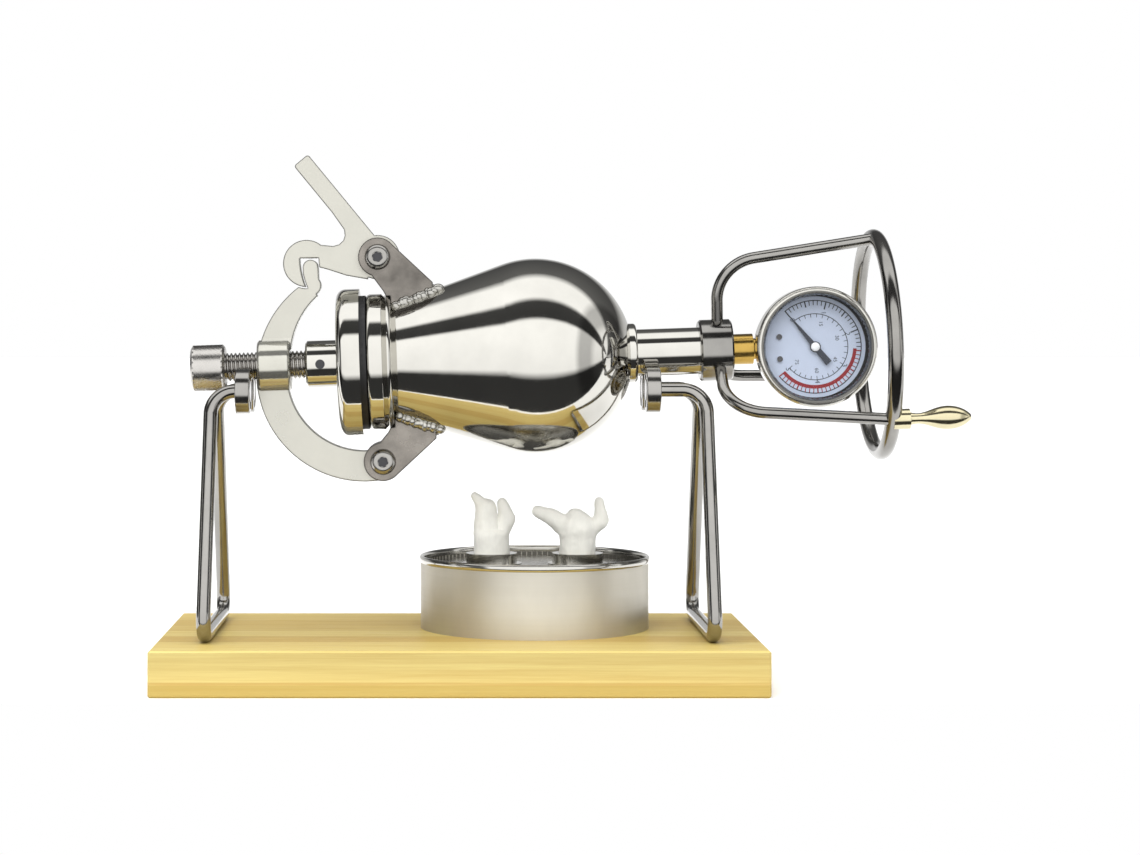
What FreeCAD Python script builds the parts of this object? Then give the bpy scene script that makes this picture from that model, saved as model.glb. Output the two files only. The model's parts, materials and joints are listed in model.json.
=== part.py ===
import FreeCAD, Part
import math
import os
from FreeCAD import Placement, Rotation, Vector

# Hand-cranked pressure popcorn maker: a steel vessel turned on ball-bearing rollers over a two-wick burner.
# Millimetres and degrees. +X runs along the vessel from its lid to its crank, +Y goes to the back, +Z is up.
# The origin is the centre of the board's underside.

# Clearances
RUN = 0.05                  # radial clearance of a pin or shaft that turns in its hole
FIT = 0.02                  # radial clearance of a piece seated in another
GAP = 0.3                   # room between pieces that pass each other

# Board
BOARD_LENGTH = 250.0
BOARD_DEPTH = 135.0
BOARD_HEIGHT = 19.0
BOARD_EDGE = 0.8

# Stands, each one bent rod
ROD = 6.0
AXLE_LEFT = 13.5            # legs beyond the middle of the rollers
AXLE_RIGHT = 22.5
FOOT_HALF = 50.0            # half the foot bar, between rod centres
FOOT_BEND = 7.0
SHOULDER_BEND = 10.0
STAND_SCREW = 3.0
STAND_SCREW_HALF = 30.0     # from the board's middle line
STAND_SCREW_HEAD = 6.4
STAND_SCREW_HEAD_HEIGHT = 2.4
STAND_SCREW_BITE = 3.2      # depth of the screw in the foot bar
COUNTERBORE = 1.0           # screw heads lie this far inside the board

# Ball-bearing rollers
ROLLER = 19.0
ROLLER_WIDTH = 6.0
ROLLER_HALF = 12.0          # half the spacing of a pair
ROLLER_LEFT_X = -91.0
NECK_ROLLER = 7.4           # right rollers beyond the end of the belly
ROLLER_LEFT_RISE = 102.6    # roller axis above the board
ROLLER_RIGHT_RISE = 103.2
ROLLER_RING = 2.0           # thickness of the outer ring
INNER_RING = 1.5            # thickness of the inner ring
BALLS = 7

# Vessel, along its own axis from the sealing face of the mouth
MOUTH_X = -38.7             # sealing face, along the board
FLANGE = 58.0
FLANGE_LENGTH = 10.7
FLANGE_ROUND = 2.0
FLANGE_GROOVE = 1.1
CONE_START = 48.0           # vessel diameter behind the flange
BELLY_RADIUS = 41.8
BELLY_AT = 71.5             # centre of the round belly
WALL = 3.0
NECK = 20.0
NECK_BORE = 6.0
WELD_RING = 25.2
WELD_RING_LENGTH = 5.6

# Crank
HUB = 26.2
NECK_LENGTH = 28.0          # bare neck between the belly and the hub
HUB_LENGTH = 14.0
HUB_SOCKET = 6.5            # depth that the neck enters the hub
CRANK_RING = 98.5           # outside diameter
CRANK_ROD = 6.5
CRANK_REACH = 62.0          # plane of the ring from the hub
SPOKE = 5.0
SPOKE_ANGLES = (78.0, -42.0, -162.0)
SPOKE_BEND = 18.0
SPOKE_FLARE = 7.2           # the spokes open outwards towards the ring
GRIP_ANGLE = -42.0
GRIP = 9.8
GRIP_NECK = 5.5
GRIP_LENGTH = 25.0
GRIP_PIN = 4.0
GRIP_PIN_DEPTH = 17.0       # pin inside the grip
FERRULE = 8.4
FERRULE_LENGTH = 3.5

# Lid and clamp screw
LID = 63.0
LID_LENGTH = 9.9
LID_ROUND = 4.0
GASKET = 57.0
GASKET_LENGTH = 2.6
SPIGOT = 37.2
SPIGOT_LENGTH = 5.6
BOSS = 20.0
BOSS_LENGTH = 13.8
BOSS_FLOOR = 3.0            # solid end of the boss behind the screw
SET_SCREW = 4.0
SET_SCREW_AT = 6.3          # from the open end of the boss
SET_SCREW_DEPTH = 1.0       # into the groove of the clamp screw
SCREW = 12.0
SCREW_LENGTH = 44.9
SCREW_STUB = 8.0
SCREW_STUB_LENGTH = 9.0
KNOB = 19.5
KNOB_LENGTH = 14.5
KNOB_EDGE = 1.0

# Yoke and latch, flat plates in the plane of the axis
PLATE = 8.0
EAR = 4.0                   # thickness of each ear of the two lugs
EAR_ROUND = 8.2
HINGE_U = 5.2
HINGE_W = -42.3
LATCH_U = 5.85
LATCH_W = 44.6
LUG_LENGTH = 23.0           # foot of a lug along the vessel
LUG_SINK = 6.0              # the blank of a lug reaches this far into the vessel before it is trimmed
PIN = 6.0
PIN_HEAD = 11.0
PIN_HEAD_HEIGHT = 3.0
PIN_NUT = 10.0              # across flats
PIN_NUT_HEIGHT = 4.0
YOKE_U = -1.4               # centre of the yoke's round
YOKE_W = -4.46
YOKE_RADIUS = 46.2
YOKE_WIDTH = 13.1
YOKE_END = 7.6              # radius of the rounded end on the hinge pin
UPPER_U = 2.2               # centre of the upper arm's inner curve
UPPER_W = 2.3
UPPER_RADIUS = 35.0
BUSH = 22.0
BUSH_AT = -46.8
BUSH_LENGTH = 13.9
FINGER = 6.6
FINGER_BACK = 28.75         # centre of the finger's round tip from the latch pin
FINGER_DROP = 3.4
FINGER_LENGTH = 7.7
FINGER_FOOT = 8.4           # diameter of the round where the finger leaves the arm
LEVER_BOSS = 9.4
JAW_BACK = 30.35            # centre of the jaw from the latch pin
JAW_DROP = 1.6
JAW_RADIUS = 10.0
JAW_SLOT_INNER = 25.2       # slot walls, about the latch pin
JAW_SLOT_OUTER = 33.2
JAW_SLOT_TOP = 1.2          # degrees above the latch pin
JAW_SLOT_SWEEP = 70.0       # degrees below it, past the end of the jaw
WEB_TOP = ((-24.75, 6.2), (-18.85, 5.4), (-16.3, 6.0), (-14.4, 7.6), (-13.7, 9.6), (-13.9, 12.2),
           (-18.8, 19.7))       # corners from the latch pin
WEB_UNDERSIDE = ((-4.65, -9.2), (-13.75, -7.3), (-20.85, -4.7), (-25.6, -3.2))
HANDLE = 7.8
HANDLE_TIP_BACK = 31.25     # middle of the handle's end from the latch pin
HANDLE_TIP_RISE = 42.4
HANDLE_FOOT_BACK = 2.75
HANDLE_FOOT_RISE = 5.15
HANDLE_EDGE = 1.2

# Pressure gauge
ADAPTER = 13.0
ADAPTER_LENGTH = 9.0
ADAPTER_THREAD = 9.6
ADAPTER_THREAD_LENGTH = 6.5
STEM = 9.0
STEM_GRIP = 6.0             # depth of the stem in the adapter
GAUGE_REACH = 25.7          # middle of the dial from the adapter
CASE = 47.0
CASE_DEPTH = 25.0
CASE_FRONT = -12.0          # front rim of the case, across the vessel's axis
CASE_WALL = 1.2
BEZEL = 51.0
BEZEL_OPENING = 43.6
BEZEL_LIP = 2.0
BEZEL_SKIRT = 6.0
LENS_THICKNESS = 1.5
DIAL = 43.0
DIAL_THICKNESS = 0.8
DIAL_SETBACK = 5.0          # dial face behind the lens
DIAL_SCREW = 2.4
DIAL_SCREW_HALF = 4.7
DIAL_SCREW_OUT = 15.0       # from the dial's centre towards the stem
NEEDLE_LENGTH = 16.5
NEEDLE_TAIL = 9.0
NEEDLE_ZERO = 128.0         # degrees from the vessel's axis, up positive
NEEDLE_HUB = 4.6
NEEDLE_THICKNESS = 0.6
NEEDLE_LIFT = 1.6           # needle in front of the dial
ARBOR = 1.6
PINION_RADIUS = 2.0
SECTOR_RATIO = 6.0
SECTOR_TRAVEL = 45.0
SECTOR_TAIL = 6.0
MOVEMENT_PLATE = 1.0
MOVEMENT_GAP = 5.0          # between the two movement plates
MOVEMENT_HALF = 6.0
MOVEMENT_POST = 2.0
BOURDON_RADIUS = 17.0
BOURDON_TUBE = 3.6
BOURDON_SWEEP = 250.0
SOCKET = 9.0

# Burner
BURNER_X = 33.0
BURNER_Y = 15.0
CAN = 98.5
CAN_HEIGHT = 31.0
CAN_WALL = 0.8
RIM = 1.6                   # diameter of the rolled rim
TOP_RECESS = 4.0
TOP_THICKNESS = 0.8
WICK_HALF = 18.6            # half the spacing of the wicks
COLLAR = 22.0
COLLAR_HEIGHT = 5.0
COLLAR_FLANGE = 26.0
COLLAR_FLANGE_THICKNESS = 0.8
WICK = 14.0
WICK_HEIGHT = 30.0          # above the can's rim
WICK_SHOULDER = 0.34        # share of the height below the tufts
LEFT_TUFTS = (((-0.13, 0.34), (-0.17, 0.66), 0.36, 0.29), ((-0.2, 0.66), (-0.52, 0.86), 0.22, 0.09),
              ((0.27, 0.34), (0.47, 0.52), 0.23, 0.22), ((0.47, 0.52), (0.33, 0.75), 0.22, 0.13))
RIGHT_TUFTS = (((0.0, 0.36), (-0.06, 0.52), 0.54, 0.29), ((-0.25, 0.38), (-0.8, 0.55), 0.3, 0.21),
               ((-0.8, 0.55), (-1.22, 0.63), 0.21, 0.14), ((0.28, 0.34), (0.74, 0.5), 0.22, 0.19),
               ((0.74, 0.5), (0.66, 0.78), 0.19, 0.1))

# Sizes that follow from the driving dimensions
BOARD_TOP = BOARD_HEIGHT
FOOT_Z = BOARD_TOP + ROD / 2
LEFT_Z = BOARD_TOP + ROLLER_LEFT_RISE
RIGHT_Z = BOARD_TOP + ROLLER_RIGHT_RISE


def axle_height(shaft, roller_z):
    """Height at which a shaft lies in the V between a pair of rollers."""
    reach = shaft / 2 + ROLLER / 2 + GAP
    return roller_z + math.sqrt(reach ** 2 - ROLLER_HALF ** 2)


BELLY_END = BELLY_AT + BELLY_RADIUS
ROLLER_RIGHT_X = MOUTH_X + BELLY_END + NECK_ROLLER
STAND_LEFT_X = ROLLER_LEFT_X - AXLE_LEFT
STAND_RIGHT_X = ROLLER_RIGHT_X + AXLE_RIGHT
AXIS_LEFT = axle_height(SCREW, LEFT_Z)
AXIS_RIGHT = axle_height(NECK, RIGHT_Z)
TILT = math.atan2(AXIS_RIGHT - AXIS_LEFT, ROLLER_RIGHT_X - ROLLER_LEFT_X)
MOUTH_Z = AXIS_LEFT + (MOUTH_X - ROLLER_LEFT_X) * math.tan(TILT)
SPIN_FRAME = Placement(Vector(MOUTH_X, 0, MOUTH_Z), Rotation(Vector(0, 1, 0), -math.degrees(TILT)))

CONE_RISE = BELLY_RADIUS / math.hypot(BELLY_AT - FLANGE_LENGTH, CONE_START / 2)
CONE_ANGLE = math.asin(CONE_RISE) - math.atan2(CONE_START / 2, BELLY_AT - FLANGE_LENGTH)
MOUTH_RADIUS = CONE_START / 2 - WALL / math.cos(CONE_ANGLE)
HUB_AT = BELLY_END + NECK_LENGTH
NECK_END = HUB_AT + HUB_SOCKET
HUB_END = HUB_AT + HUB_LENGTH
CRANK_AT = HUB_END + CRANK_REACH
ADAPTER_END = HUB_END + ADAPTER_LENGTH
GAUGE_AT = ADAPTER_END + GAUGE_REACH
RING_RADIUS = (CRANK_RING - CRANK_ROD) / 2
LID_FACE = -GASKET_LENGTH
LID_BACK = LID_FACE - LID_LENGTH
BOSS_END = LID_BACK - BOSS_LENGTH
SCREW_TIP = LID_BACK - BOSS_FLOOR - GAP
SCREW_HEAD = SCREW_TIP - SCREW_LENGTH
SET_SCREW_U = BOSS_END + SET_SCREW_AT
FINGER_U = LATCH_U - FINGER_BACK
FINGER_W = LATCH_W - FINGER_DROP
FINGER_FOOT_W = FINGER_W - FINGER_LENGTH
JAW_U = LATCH_U - JAW_BACK
JAW_W = LATCH_W - JAW_DROP
EAR_INNER = PLATE / 2 + GAP
EAR_OUTER = EAR_INNER + EAR
LENS_FRONT = CASE_FRONT - LENS_THICKNESS
DIAL_FACE = CASE_FRONT + DIAL_SETBACK
DIAL_BACK = DIAL_FACE + DIAL_THICKNESS
PLATE_FRONT = DIAL_BACK + DIAL_SCREW
PLATE_REAR = PLATE_FRONT + MOVEMENT_PLATE + MOVEMENT_GAP
NEEDLE_FACE = DIAL_FACE - NEEDLE_LIFT
SECTOR_RADIUS = PINION_RADIUS * SECTOR_RATIO
CAN_TOP = BOARD_TOP + CAN_HEIGHT
BURNER_TOP = CAN_TOP - TOP_RECESS


# Helpers

def save(name, shape):
    """Write one node."""
    shape.exportStep("parts/" + name + ".step")


def group(shapes):
    return Part.makeCompound(shapes)


def fuse(shapes):
    first, *others = shapes
    return first.multiFuse(others).removeSplitter() if others else first


def on_axis(shape):
    """Take a piece from the vessel's own frame to its place on the rollers."""
    placed = shape.copy()
    placed.Placement = SPIN_FRAME.multiply(placed.Placement)
    return placed


def rod_u(start, end, diameter):
    """Round bar along the vessel's axis."""
    return Part.makeCylinder(diameter / 2, end - start, Vector(start, 0, 0), Vector(1, 0, 0))


def tube_u(start, end, outer, inner):
    return rod_u(start, end, outer).cut(rod_u(start, end, inner))


def rod_y(u, w, front, back, diameter):
    """Round bar across the vessel's axis, from front to back."""
    return Part.makeCylinder(diameter / 2, back - front, Vector(u, front, w), Vector(0, 1, 0))


def turned(points):
    """Solid turned about the vessel's axis from (along, radius) corners."""
    corners = [Vector(u, 0, r) for u, r in points]
    return Part.Face(Part.makePolygon(corners + corners[:1])).revolve(Vector(0, 0, 0), Vector(1, 0, 0), 360)


def plate(points, thickness):
    """Flat plate in the plane of the axis, from (along, up) corners."""
    corners = [Vector(u, -thickness / 2, w) for u, w in points]
    return Part.Face(Part.makePolygon(corners + corners[:1])).extrude(Vector(0, thickness, 0))


def bar(start, end, width, thickness):
    """Flat bar between two points in the plane of the axis."""
    (u0, w0), (u1, w1) = start, end
    length = math.hypot(u1 - u0, w1 - w0)
    side_u = -(w1 - w0) / length * width / 2
    side_w = (u1 - u0) / length * width / 2
    return plate([(u0 + side_u, w0 + side_w), (u1 + side_u, w1 + side_w),
                  (u1 - side_u, w1 - side_w), (u0 - side_u, w0 - side_w)], thickness)


def disc(u, w, radius, thickness):
    return rod_y(u, w, -thickness / 2, thickness / 2, radius * 2)


def sector(u, w, radius, start, end, thickness):
    """Pie slice about a point in the plane of the axis, angles from the axis with up positive."""
    face = disc(u, w, radius, thickness)
    reach = radius * 3
    steps = max(2, math.ceil((end - start) / 60))
    turns = [math.radians(start + (end - start) * i / steps) for i in range(steps + 1)]
    return face.common(plate([(u, w)] + [(u + reach * math.cos(a), w + reach * math.sin(a)) for a in turns],
                             thickness))


def bent_rod(points, bends, diameter):
    """Round rod along straight runs joined by tangent arcs."""
    edges = []
    start = points[0]
    for before, corner, after, bend in zip(points, points[1:], points[2:], bends):
        arrive = (corner - before).normalize()
        leave = (after - corner).normalize()
        turn = arrive.getAngle(leave)
        reach = bend * math.tan(turn / 2)
        first = corner - arrive * reach
        last = corner + leave * reach
        inward = (leave - arrive).normalize()
        middle = corner + inward * (bend / math.cos(turn / 2) - bend)
        edges.append(Part.LineSegment(start, first).toShape())
        edges.append(Part.Arc(first, middle, last).toShape())
        start = last
    edges.append(Part.LineSegment(start, points[-1]).toShape())
    circle = Part.Wire(Part.makeCircle(diameter / 2, points[0], points[1] - points[0]))
    return Part.Wire(edges).makePipeShell([circle], True, False)


def edges_where(shape, test):
    return [edge for edge in shape.Edges if test(edge.BoundBox.Center, edge)]


# Board and stands

def base_board():
    corner = Vector(-BOARD_LENGTH / 2, -BOARD_DEPTH / 2, 0)
    board = Part.makeBox(BOARD_LENGTH, BOARD_DEPTH, BOARD_HEIGHT, corner)
    board = board.makeChamfer(BOARD_EDGE, board.Edges)
    return board.cut(group([screw_room(x, y) for x, y in stand_screw_places()]))


def stand_screw_places():
    return [(x, side * STAND_SCREW_HALF) for x in (STAND_LEFT_X, STAND_RIGHT_X) for side in (-1, 1)]


def screw_room(x, y):
    """Stepped hole for a stand screw."""
    head = STAND_SCREW_HEAD / 2 + FIT
    depth = COUNTERBORE + STAND_SCREW_HEAD_HEIGHT
    hole = Part.makeCylinder(head, depth, Vector(x, y, 0))
    return hole.fuse(Part.makeCylinder(STAND_SCREW / 2 + FIT, BOARD_HEIGHT, Vector(x, y, 0)))


def stand_screws():
    screws = []
    shank = BOARD_TOP + STAND_SCREW_BITE - COUNTERBORE
    for x, y in stand_screw_places():
        head = Part.makeCylinder(STAND_SCREW_HEAD / 2, STAND_SCREW_HEAD_HEIGHT, Vector(x, y, COUNTERBORE))
        screws.append(fuse([head, Part.makeCylinder(STAND_SCREW / 2, shank, Vector(x, y, COUNTERBORE))]))
    return group(screws)


def stand(leg_x, roller_x, roller_z):
    """One rod: a foot bar across the board, two legs that close towards the top and two axle ends."""
    side = math.copysign(1, leg_x)
    axle_end = roller_x - side * ROLLER_WIDTH / 2
    points = [Vector(axle_end, -ROLLER_HALF, roller_z), Vector(leg_x, -ROLLER_HALF, roller_z),
              Vector(leg_x, -FOOT_HALF, FOOT_Z), Vector(leg_x, FOOT_HALF, FOOT_Z),
              Vector(leg_x, ROLLER_HALF, roller_z), Vector(axle_end, ROLLER_HALF, roller_z)]
    rod = bent_rod(points, [SHOULDER_BEND, FOOT_BEND, FOOT_BEND, SHOULDER_BEND], ROD)
    depth = STAND_SCREW_BITE + FIT
    holes = [Part.makeCylinder(STAND_SCREW / 2 + FIT, depth, Vector(x, y, BOARD_TOP))
             for x, y in stand_screw_places() if x * side > 0]
    return rod.cut(group(holes))


# Rollers

ROLLERS = {
    "roller_left_front": (ROLLER_LEFT_X, -ROLLER_HALF, LEFT_Z),
    "roller_left_rear": (ROLLER_LEFT_X, ROLLER_HALF, LEFT_Z),
    "roller_right_front": (ROLLER_RIGHT_X, -ROLLER_HALF, RIGHT_Z),
    "roller_right_rear": (ROLLER_RIGHT_X, ROLLER_HALF, RIGHT_Z),
}
INNER_RADIUS = ROD / 2 + INNER_RING
OUTER_RADIUS = ROLLER / 2 - ROLLER_RING
BALL = OUTER_RADIUS - INNER_RADIUS - 2 * RUN


def roller_tube(place, outer, inner):
    return tube_u(-ROLLER_WIDTH / 2, ROLLER_WIDTH / 2, outer * 2, inner * 2).translated(Vector(*place))


def roller_outer(place):
    ring = roller_tube(place, ROLLER / 2, OUTER_RADIUS)
    rims = edges_where(ring, lambda centre, edge: edge.BoundBox.ZLength > ROLLER - RUN)
    return ring.makeFillet(ROLLER_WIDTH / 12, [edge for edge in rims if edge.BoundBox.XLength < RUN])


def roller_inner_rings():
    return group([roller_tube(place, INNER_RADIUS, ROD / 2 + FIT) for place in ROLLERS.values()])


def roller_balls():
    balls = []
    pitch = (INNER_RADIUS + OUTER_RADIUS) / 2
    for x, y, z in ROLLERS.values():
        for i in range(BALLS):
            turn = 2 * math.pi * i / BALLS
            centre = Vector(x, y + pitch * math.cos(turn), z + pitch * math.sin(turn))
            balls.append(Part.makeSphere(BALL / 2, centre))
    return group(balls)


# Vessel

def belly(radius):
    return Part.makeSphere(radius, Vector(BELLY_AT, 0, 0))


def vessel_solid(inset):
    """Cone from the flange running tangent into the round belly, drawn in by inset all over."""
    radius = BELLY_RADIUS - inset
    touch_u = BELLY_AT - radius * math.sin(CONE_ANGLE)
    touch_r = radius * math.cos(CONE_ANGLE)
    mouth = CONE_START / 2 - inset / math.cos(CONE_ANGLE)
    cone = turned([(FLANGE_LENGTH, 0), (FLANGE_LENGTH, mouth), (touch_u, touch_r), (touch_u, 0)])
    room = BELLY_RADIUS * 4
    cap = belly(radius).cut(Part.makeBox(room, room, room, Vector(touch_u - room, -room / 2, -room / 2)))
    return fuse([cone, cap])


def vessel_shell():
    shell = vessel_solid(0).cut(vessel_solid(WALL))
    return shell.cut(rod_u(BELLY_AT, HUB_AT, NECK_BORE))


def mouth_flange():
    ring = tube_u(0, FLANGE_LENGTH, FLANGE, MOUTH_RADIUS * 2)
    rims = [edge for edge in ring.Edges
            if edge.BoundBox.ZLength > FLANGE - RUN and edge.BoundBox.XLength < RUN]
    ring = ring.makeFillet(FLANGE_ROUND, rims)
    groove_u = FLANGE_LENGTH * 0.72
    groove = turned([(groove_u - FLANGE_GROOVE, FLANGE), (groove_u - FLANGE_GROOVE, FLANGE / 2),
                     (groove_u, FLANGE / 2 - FLANGE_GROOVE), (groove_u + FLANGE_GROOVE, FLANGE / 2),
                     (groove_u + FLANGE_GROOVE, FLANGE)])
    return ring.cut(groove)


def neck_tube():
    return tube_u(BELLY_AT, NECK_END, NECK, NECK_BORE).cut(belly(BELLY_RADIUS))


def neck_weld_ring():
    """Bead where the neck leaves the belly."""
    end = BELLY_AT + math.sqrt(BELLY_RADIUS ** 2 - (NECK / 2) ** 2) + (WELD_RING - NECK) / 2
    ring = tube_u(end - WELD_RING_LENGTH, end, WELD_RING, NECK).cut(belly(BELLY_RADIUS))
    front = [edge for edge in ring.Edges
             if edge.BoundBox.XMin > end - RUN and edge.BoundBox.ZLength > NECK + RUN]
    return ring.makeFillet((WELD_RING - NECK) / 4, front)


def lug(pin_u, pin_w):
    """Two ears that carry a pin, welded to the vessel behind the flange."""
    side = math.copysign(1, pin_w)
    foot_end = pin_u + LUG_LENGTH
    far = math.hypot(FLANGE / 2, EAR_ROUND)
    blank = [(pin_u - EAR_ROUND, pin_w), (pin_u + EAR_ROUND * 0.6, pin_w + side * EAR_ROUND * 0.8),
             (foot_end, side * (far + WALL)), (foot_end, side * (far - LUG_SINK)),
             (FLANGE_LENGTH, side * (far - LUG_SINK)), (FLANGE_LENGTH - WALL, side * far)]
    width = EAR_OUTER * 2
    ears = fuse([disc(pin_u, pin_w, EAR_ROUND, width), plate(blank, width)])
    slot = Part.makeBox(BELLY_AT * 2, EAR_INNER * 2, BELLY_AT * 2, Vector(-BELLY_AT, -EAR_INNER, -BELLY_AT))
    ears = ears.cut(slot).cut(vessel_solid(0)).cut(rod_u(0, FLANGE_LENGTH, FLANGE))
    ears = ears.cut(rod_y(pin_u, pin_w, -width, width, PIN + 2 * FIT))
    return group(largest_pair(ears))


def largest_pair(shape):
    """The two ears, without slivers trimmed off under the flange."""
    return sorted(shape.Solids, key=lambda solid: solid.Volume)[-2:]


def pivot_pin(u, w):
    """Button-head screw through both ears, with a nut at the back."""
    shank = rod_y(u, w, -EAR_OUTER, EAR_OUTER + PIN_NUT_HEIGHT, PIN)
    head = Part.makeCone(PIN_HEAD * 0.3, PIN_HEAD / 2, PIN_HEAD_HEIGHT,
                         Vector(u, -EAR_OUTER - PIN_HEAD_HEIGHT, w), Vector(0, 1, 0))
    corner = PIN_NUT / math.sqrt(3)
    flats = [math.radians(60 * i) for i in range(6)]
    nut = plate([(u + corner * math.cos(a), w + corner * math.sin(a)) for a in flats], PIN_NUT_HEIGHT)
    nut.translate(Vector(0, EAR_OUTER + PIN_NUT_HEIGHT / 2, 0))
    return fuse([shank, head, nut])


# Crank

def crank_hub():
    hub = rod_u(HUB_AT, HUB_END, HUB)
    hub = hub.makeChamfer(CRANK_ROD / 8, [edge for edge in hub.Edges if edge.BoundBox.XLength < RUN])
    hub = hub.cut(rod_u(HUB_AT, NECK_END, NECK + 2 * FIT))
    return hub.cut(rod_u(HUB_AT, HUB_END, ADAPTER_THREAD + 2 * FIT))


def ring_solid(clearance):
    return Part.makeTorus(RING_RADIUS, CRANK_ROD / 2 + clearance, Vector(CRANK_AT, 0, 0), Vector(1, 0, 0))


def around(angle, u, radius):
    """Point at an angle round the vessel's axis, from the front, up positive."""
    turn = math.radians(angle)
    return Vector(u, -radius * math.cos(turn), radius * math.sin(turn))


def crank_spoke(angle):
    start_u = HUB_AT + HUB_LENGTH * 0.58
    corner = RING_RADIUS - (CRANK_AT - start_u) * math.tan(math.radians(SPOKE_FLARE))
    points = [around(angle, start_u, HUB / 4), around(angle, start_u, corner),
              around(angle, CRANK_AT, RING_RADIUS)]
    spoke = bent_rod(points, [SPOKE_BEND], SPOKE)
    return spoke.cut(rod_u(HUB_AT, HUB_END, HUB)).cut(ring_solid(0))


def grip_bar(start, end, diameter):
    return rod_u(start, end, diameter).translated(around(GRIP_ANGLE, 0, RING_RADIUS))


FERRULE_AT = CRANK_AT + CRANK_ROD / 2
GRIP_AT = FERRULE_AT + FERRULE_LENGTH + GAP


def crank_ring():
    return ring_solid(0).cut(grip_bar(CRANK_AT, GRIP_AT, GRIP_PIN + 2 * FIT))


def grip_pin():
    return grip_bar(CRANK_AT, GRIP_AT + GRIP_PIN_DEPTH, GRIP_PIN)


def grip_ferrule():
    ferrule = grip_bar(CRANK_AT, FERRULE_AT + FERRULE_LENGTH, FERRULE)
    return ferrule.cut(grip_bar(CRANK_AT, GRIP_AT, GRIP_PIN + 2 * FIT)).cut(ring_solid(0))


def crank_grip():
    """Slim neck that swells to a spindle and closes to a round tip."""
    profile = [(0, GRIP_NECK / 2), (0.22, GRIP_NECK / 2.2), (0.45, GRIP * 0.44), (0.62, GRIP / 2),
               (0.85, GRIP * 0.38), (1, GRIP * 0.12)]
    points = [Vector(GRIP_AT + share * GRIP_LENGTH, 0, radius) for share, radius in profile]
    curve = Part.BSplineCurve()
    curve.interpolate(points)
    start = Vector(points[0].x, 0, 0)
    end = Vector(points[-1].x, 0, 0)
    face = Part.Face(Part.Wire([curve.toShape(), Part.makeLine(points[-1], end), Part.makeLine(end, start),
                                Part.makeLine(start, points[0])]))
    grip = face.revolve(Vector(0, 0, 0), Vector(1, 0, 0), 360).translated(around(GRIP_ANGLE, 0, RING_RADIUS))
    return grip.cut(grip_bar(GRIP_AT, GRIP_AT + GRIP_PIN_DEPTH + GAP, GRIP_PIN + 2 * RUN))


# Lid and clamp screw

def lid_disc():
    body = rod_u(LID_BACK, LID_FACE, LID)
    back = [edge for edge in body.Edges if edge.BoundBox.XMax < LID_BACK + RUN]
    body = body.makeFillet(LID_ROUND, back)
    return fuse([body, rod_u(LID_FACE, LID_FACE + SPIGOT_LENGTH, SPIGOT)])


def lid_gasket():
    return tube_u(LID_FACE, 0, GASKET, SPIGOT + 2 * FIT)


def lid_boss():
    boss = rod_u(BOSS_END, LID_BACK, BOSS)
    boss = boss.makeChamfer(BOSS / 25, [edge for edge in boss.Edges if edge.BoundBox.XMax < BOSS_END + RUN])
    boss = boss.cut(rod_u(BOSS_END, LID_BACK - BOSS_FLOOR, SCREW + 2 * RUN))
    return boss.cut(rod_y(SET_SCREW_U, 0, -BOSS, 0, SET_SCREW + 2 * FIT))


def boss_set_screw():
    tip = -SCREW / 2 + SET_SCREW_DEPTH
    return rod_y(SET_SCREW_U, 0, -BOSS / 2, tip, SET_SCREW)


def clamp_screw():
    groove = SCREW / 2 - SET_SCREW_DEPTH - GAP
    half = SET_SCREW / 2 + GAP
    shank = rod_u(SCREW_HEAD, SCREW_TIP, SCREW)
    shank = shank.cut(tube_u(SET_SCREW_U - half, SET_SCREW_U + half, SCREW * 2, groove * 2))
    return fuse([shank, rod_u(SCREW_HEAD - SCREW_STUB_LENGTH, SCREW_HEAD, SCREW_STUB)])


def screw_knob():
    knob = rod_u(SCREW_HEAD - KNOB_LENGTH, SCREW_HEAD, KNOB)
    knob = knob.makeChamfer(KNOB_EDGE, [edge for edge in knob.Edges if edge.BoundBox.XLength < RUN])
    return knob.cut(rod_u(SCREW_HEAD - SCREW_STUB_LENGTH - FIT, SCREW_HEAD, SCREW_STUB + 2 * FIT))


# Yoke and latch

def angle_from_yoke(u, w):
    return math.degrees(math.atan2(w - YOKE_W, u - YOKE_U)) % 360


def jaw_room():
    """Where the hook of the latch lies beside the finger."""
    hook = disc(JAW_U, JAW_W, JAW_RADIUS + 2 * GAP, PLATE)
    return hook.cut(disc(LATCH_U, LATCH_W, JAW_SLOT_OUTER - 2 * GAP, PLATE))


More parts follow.
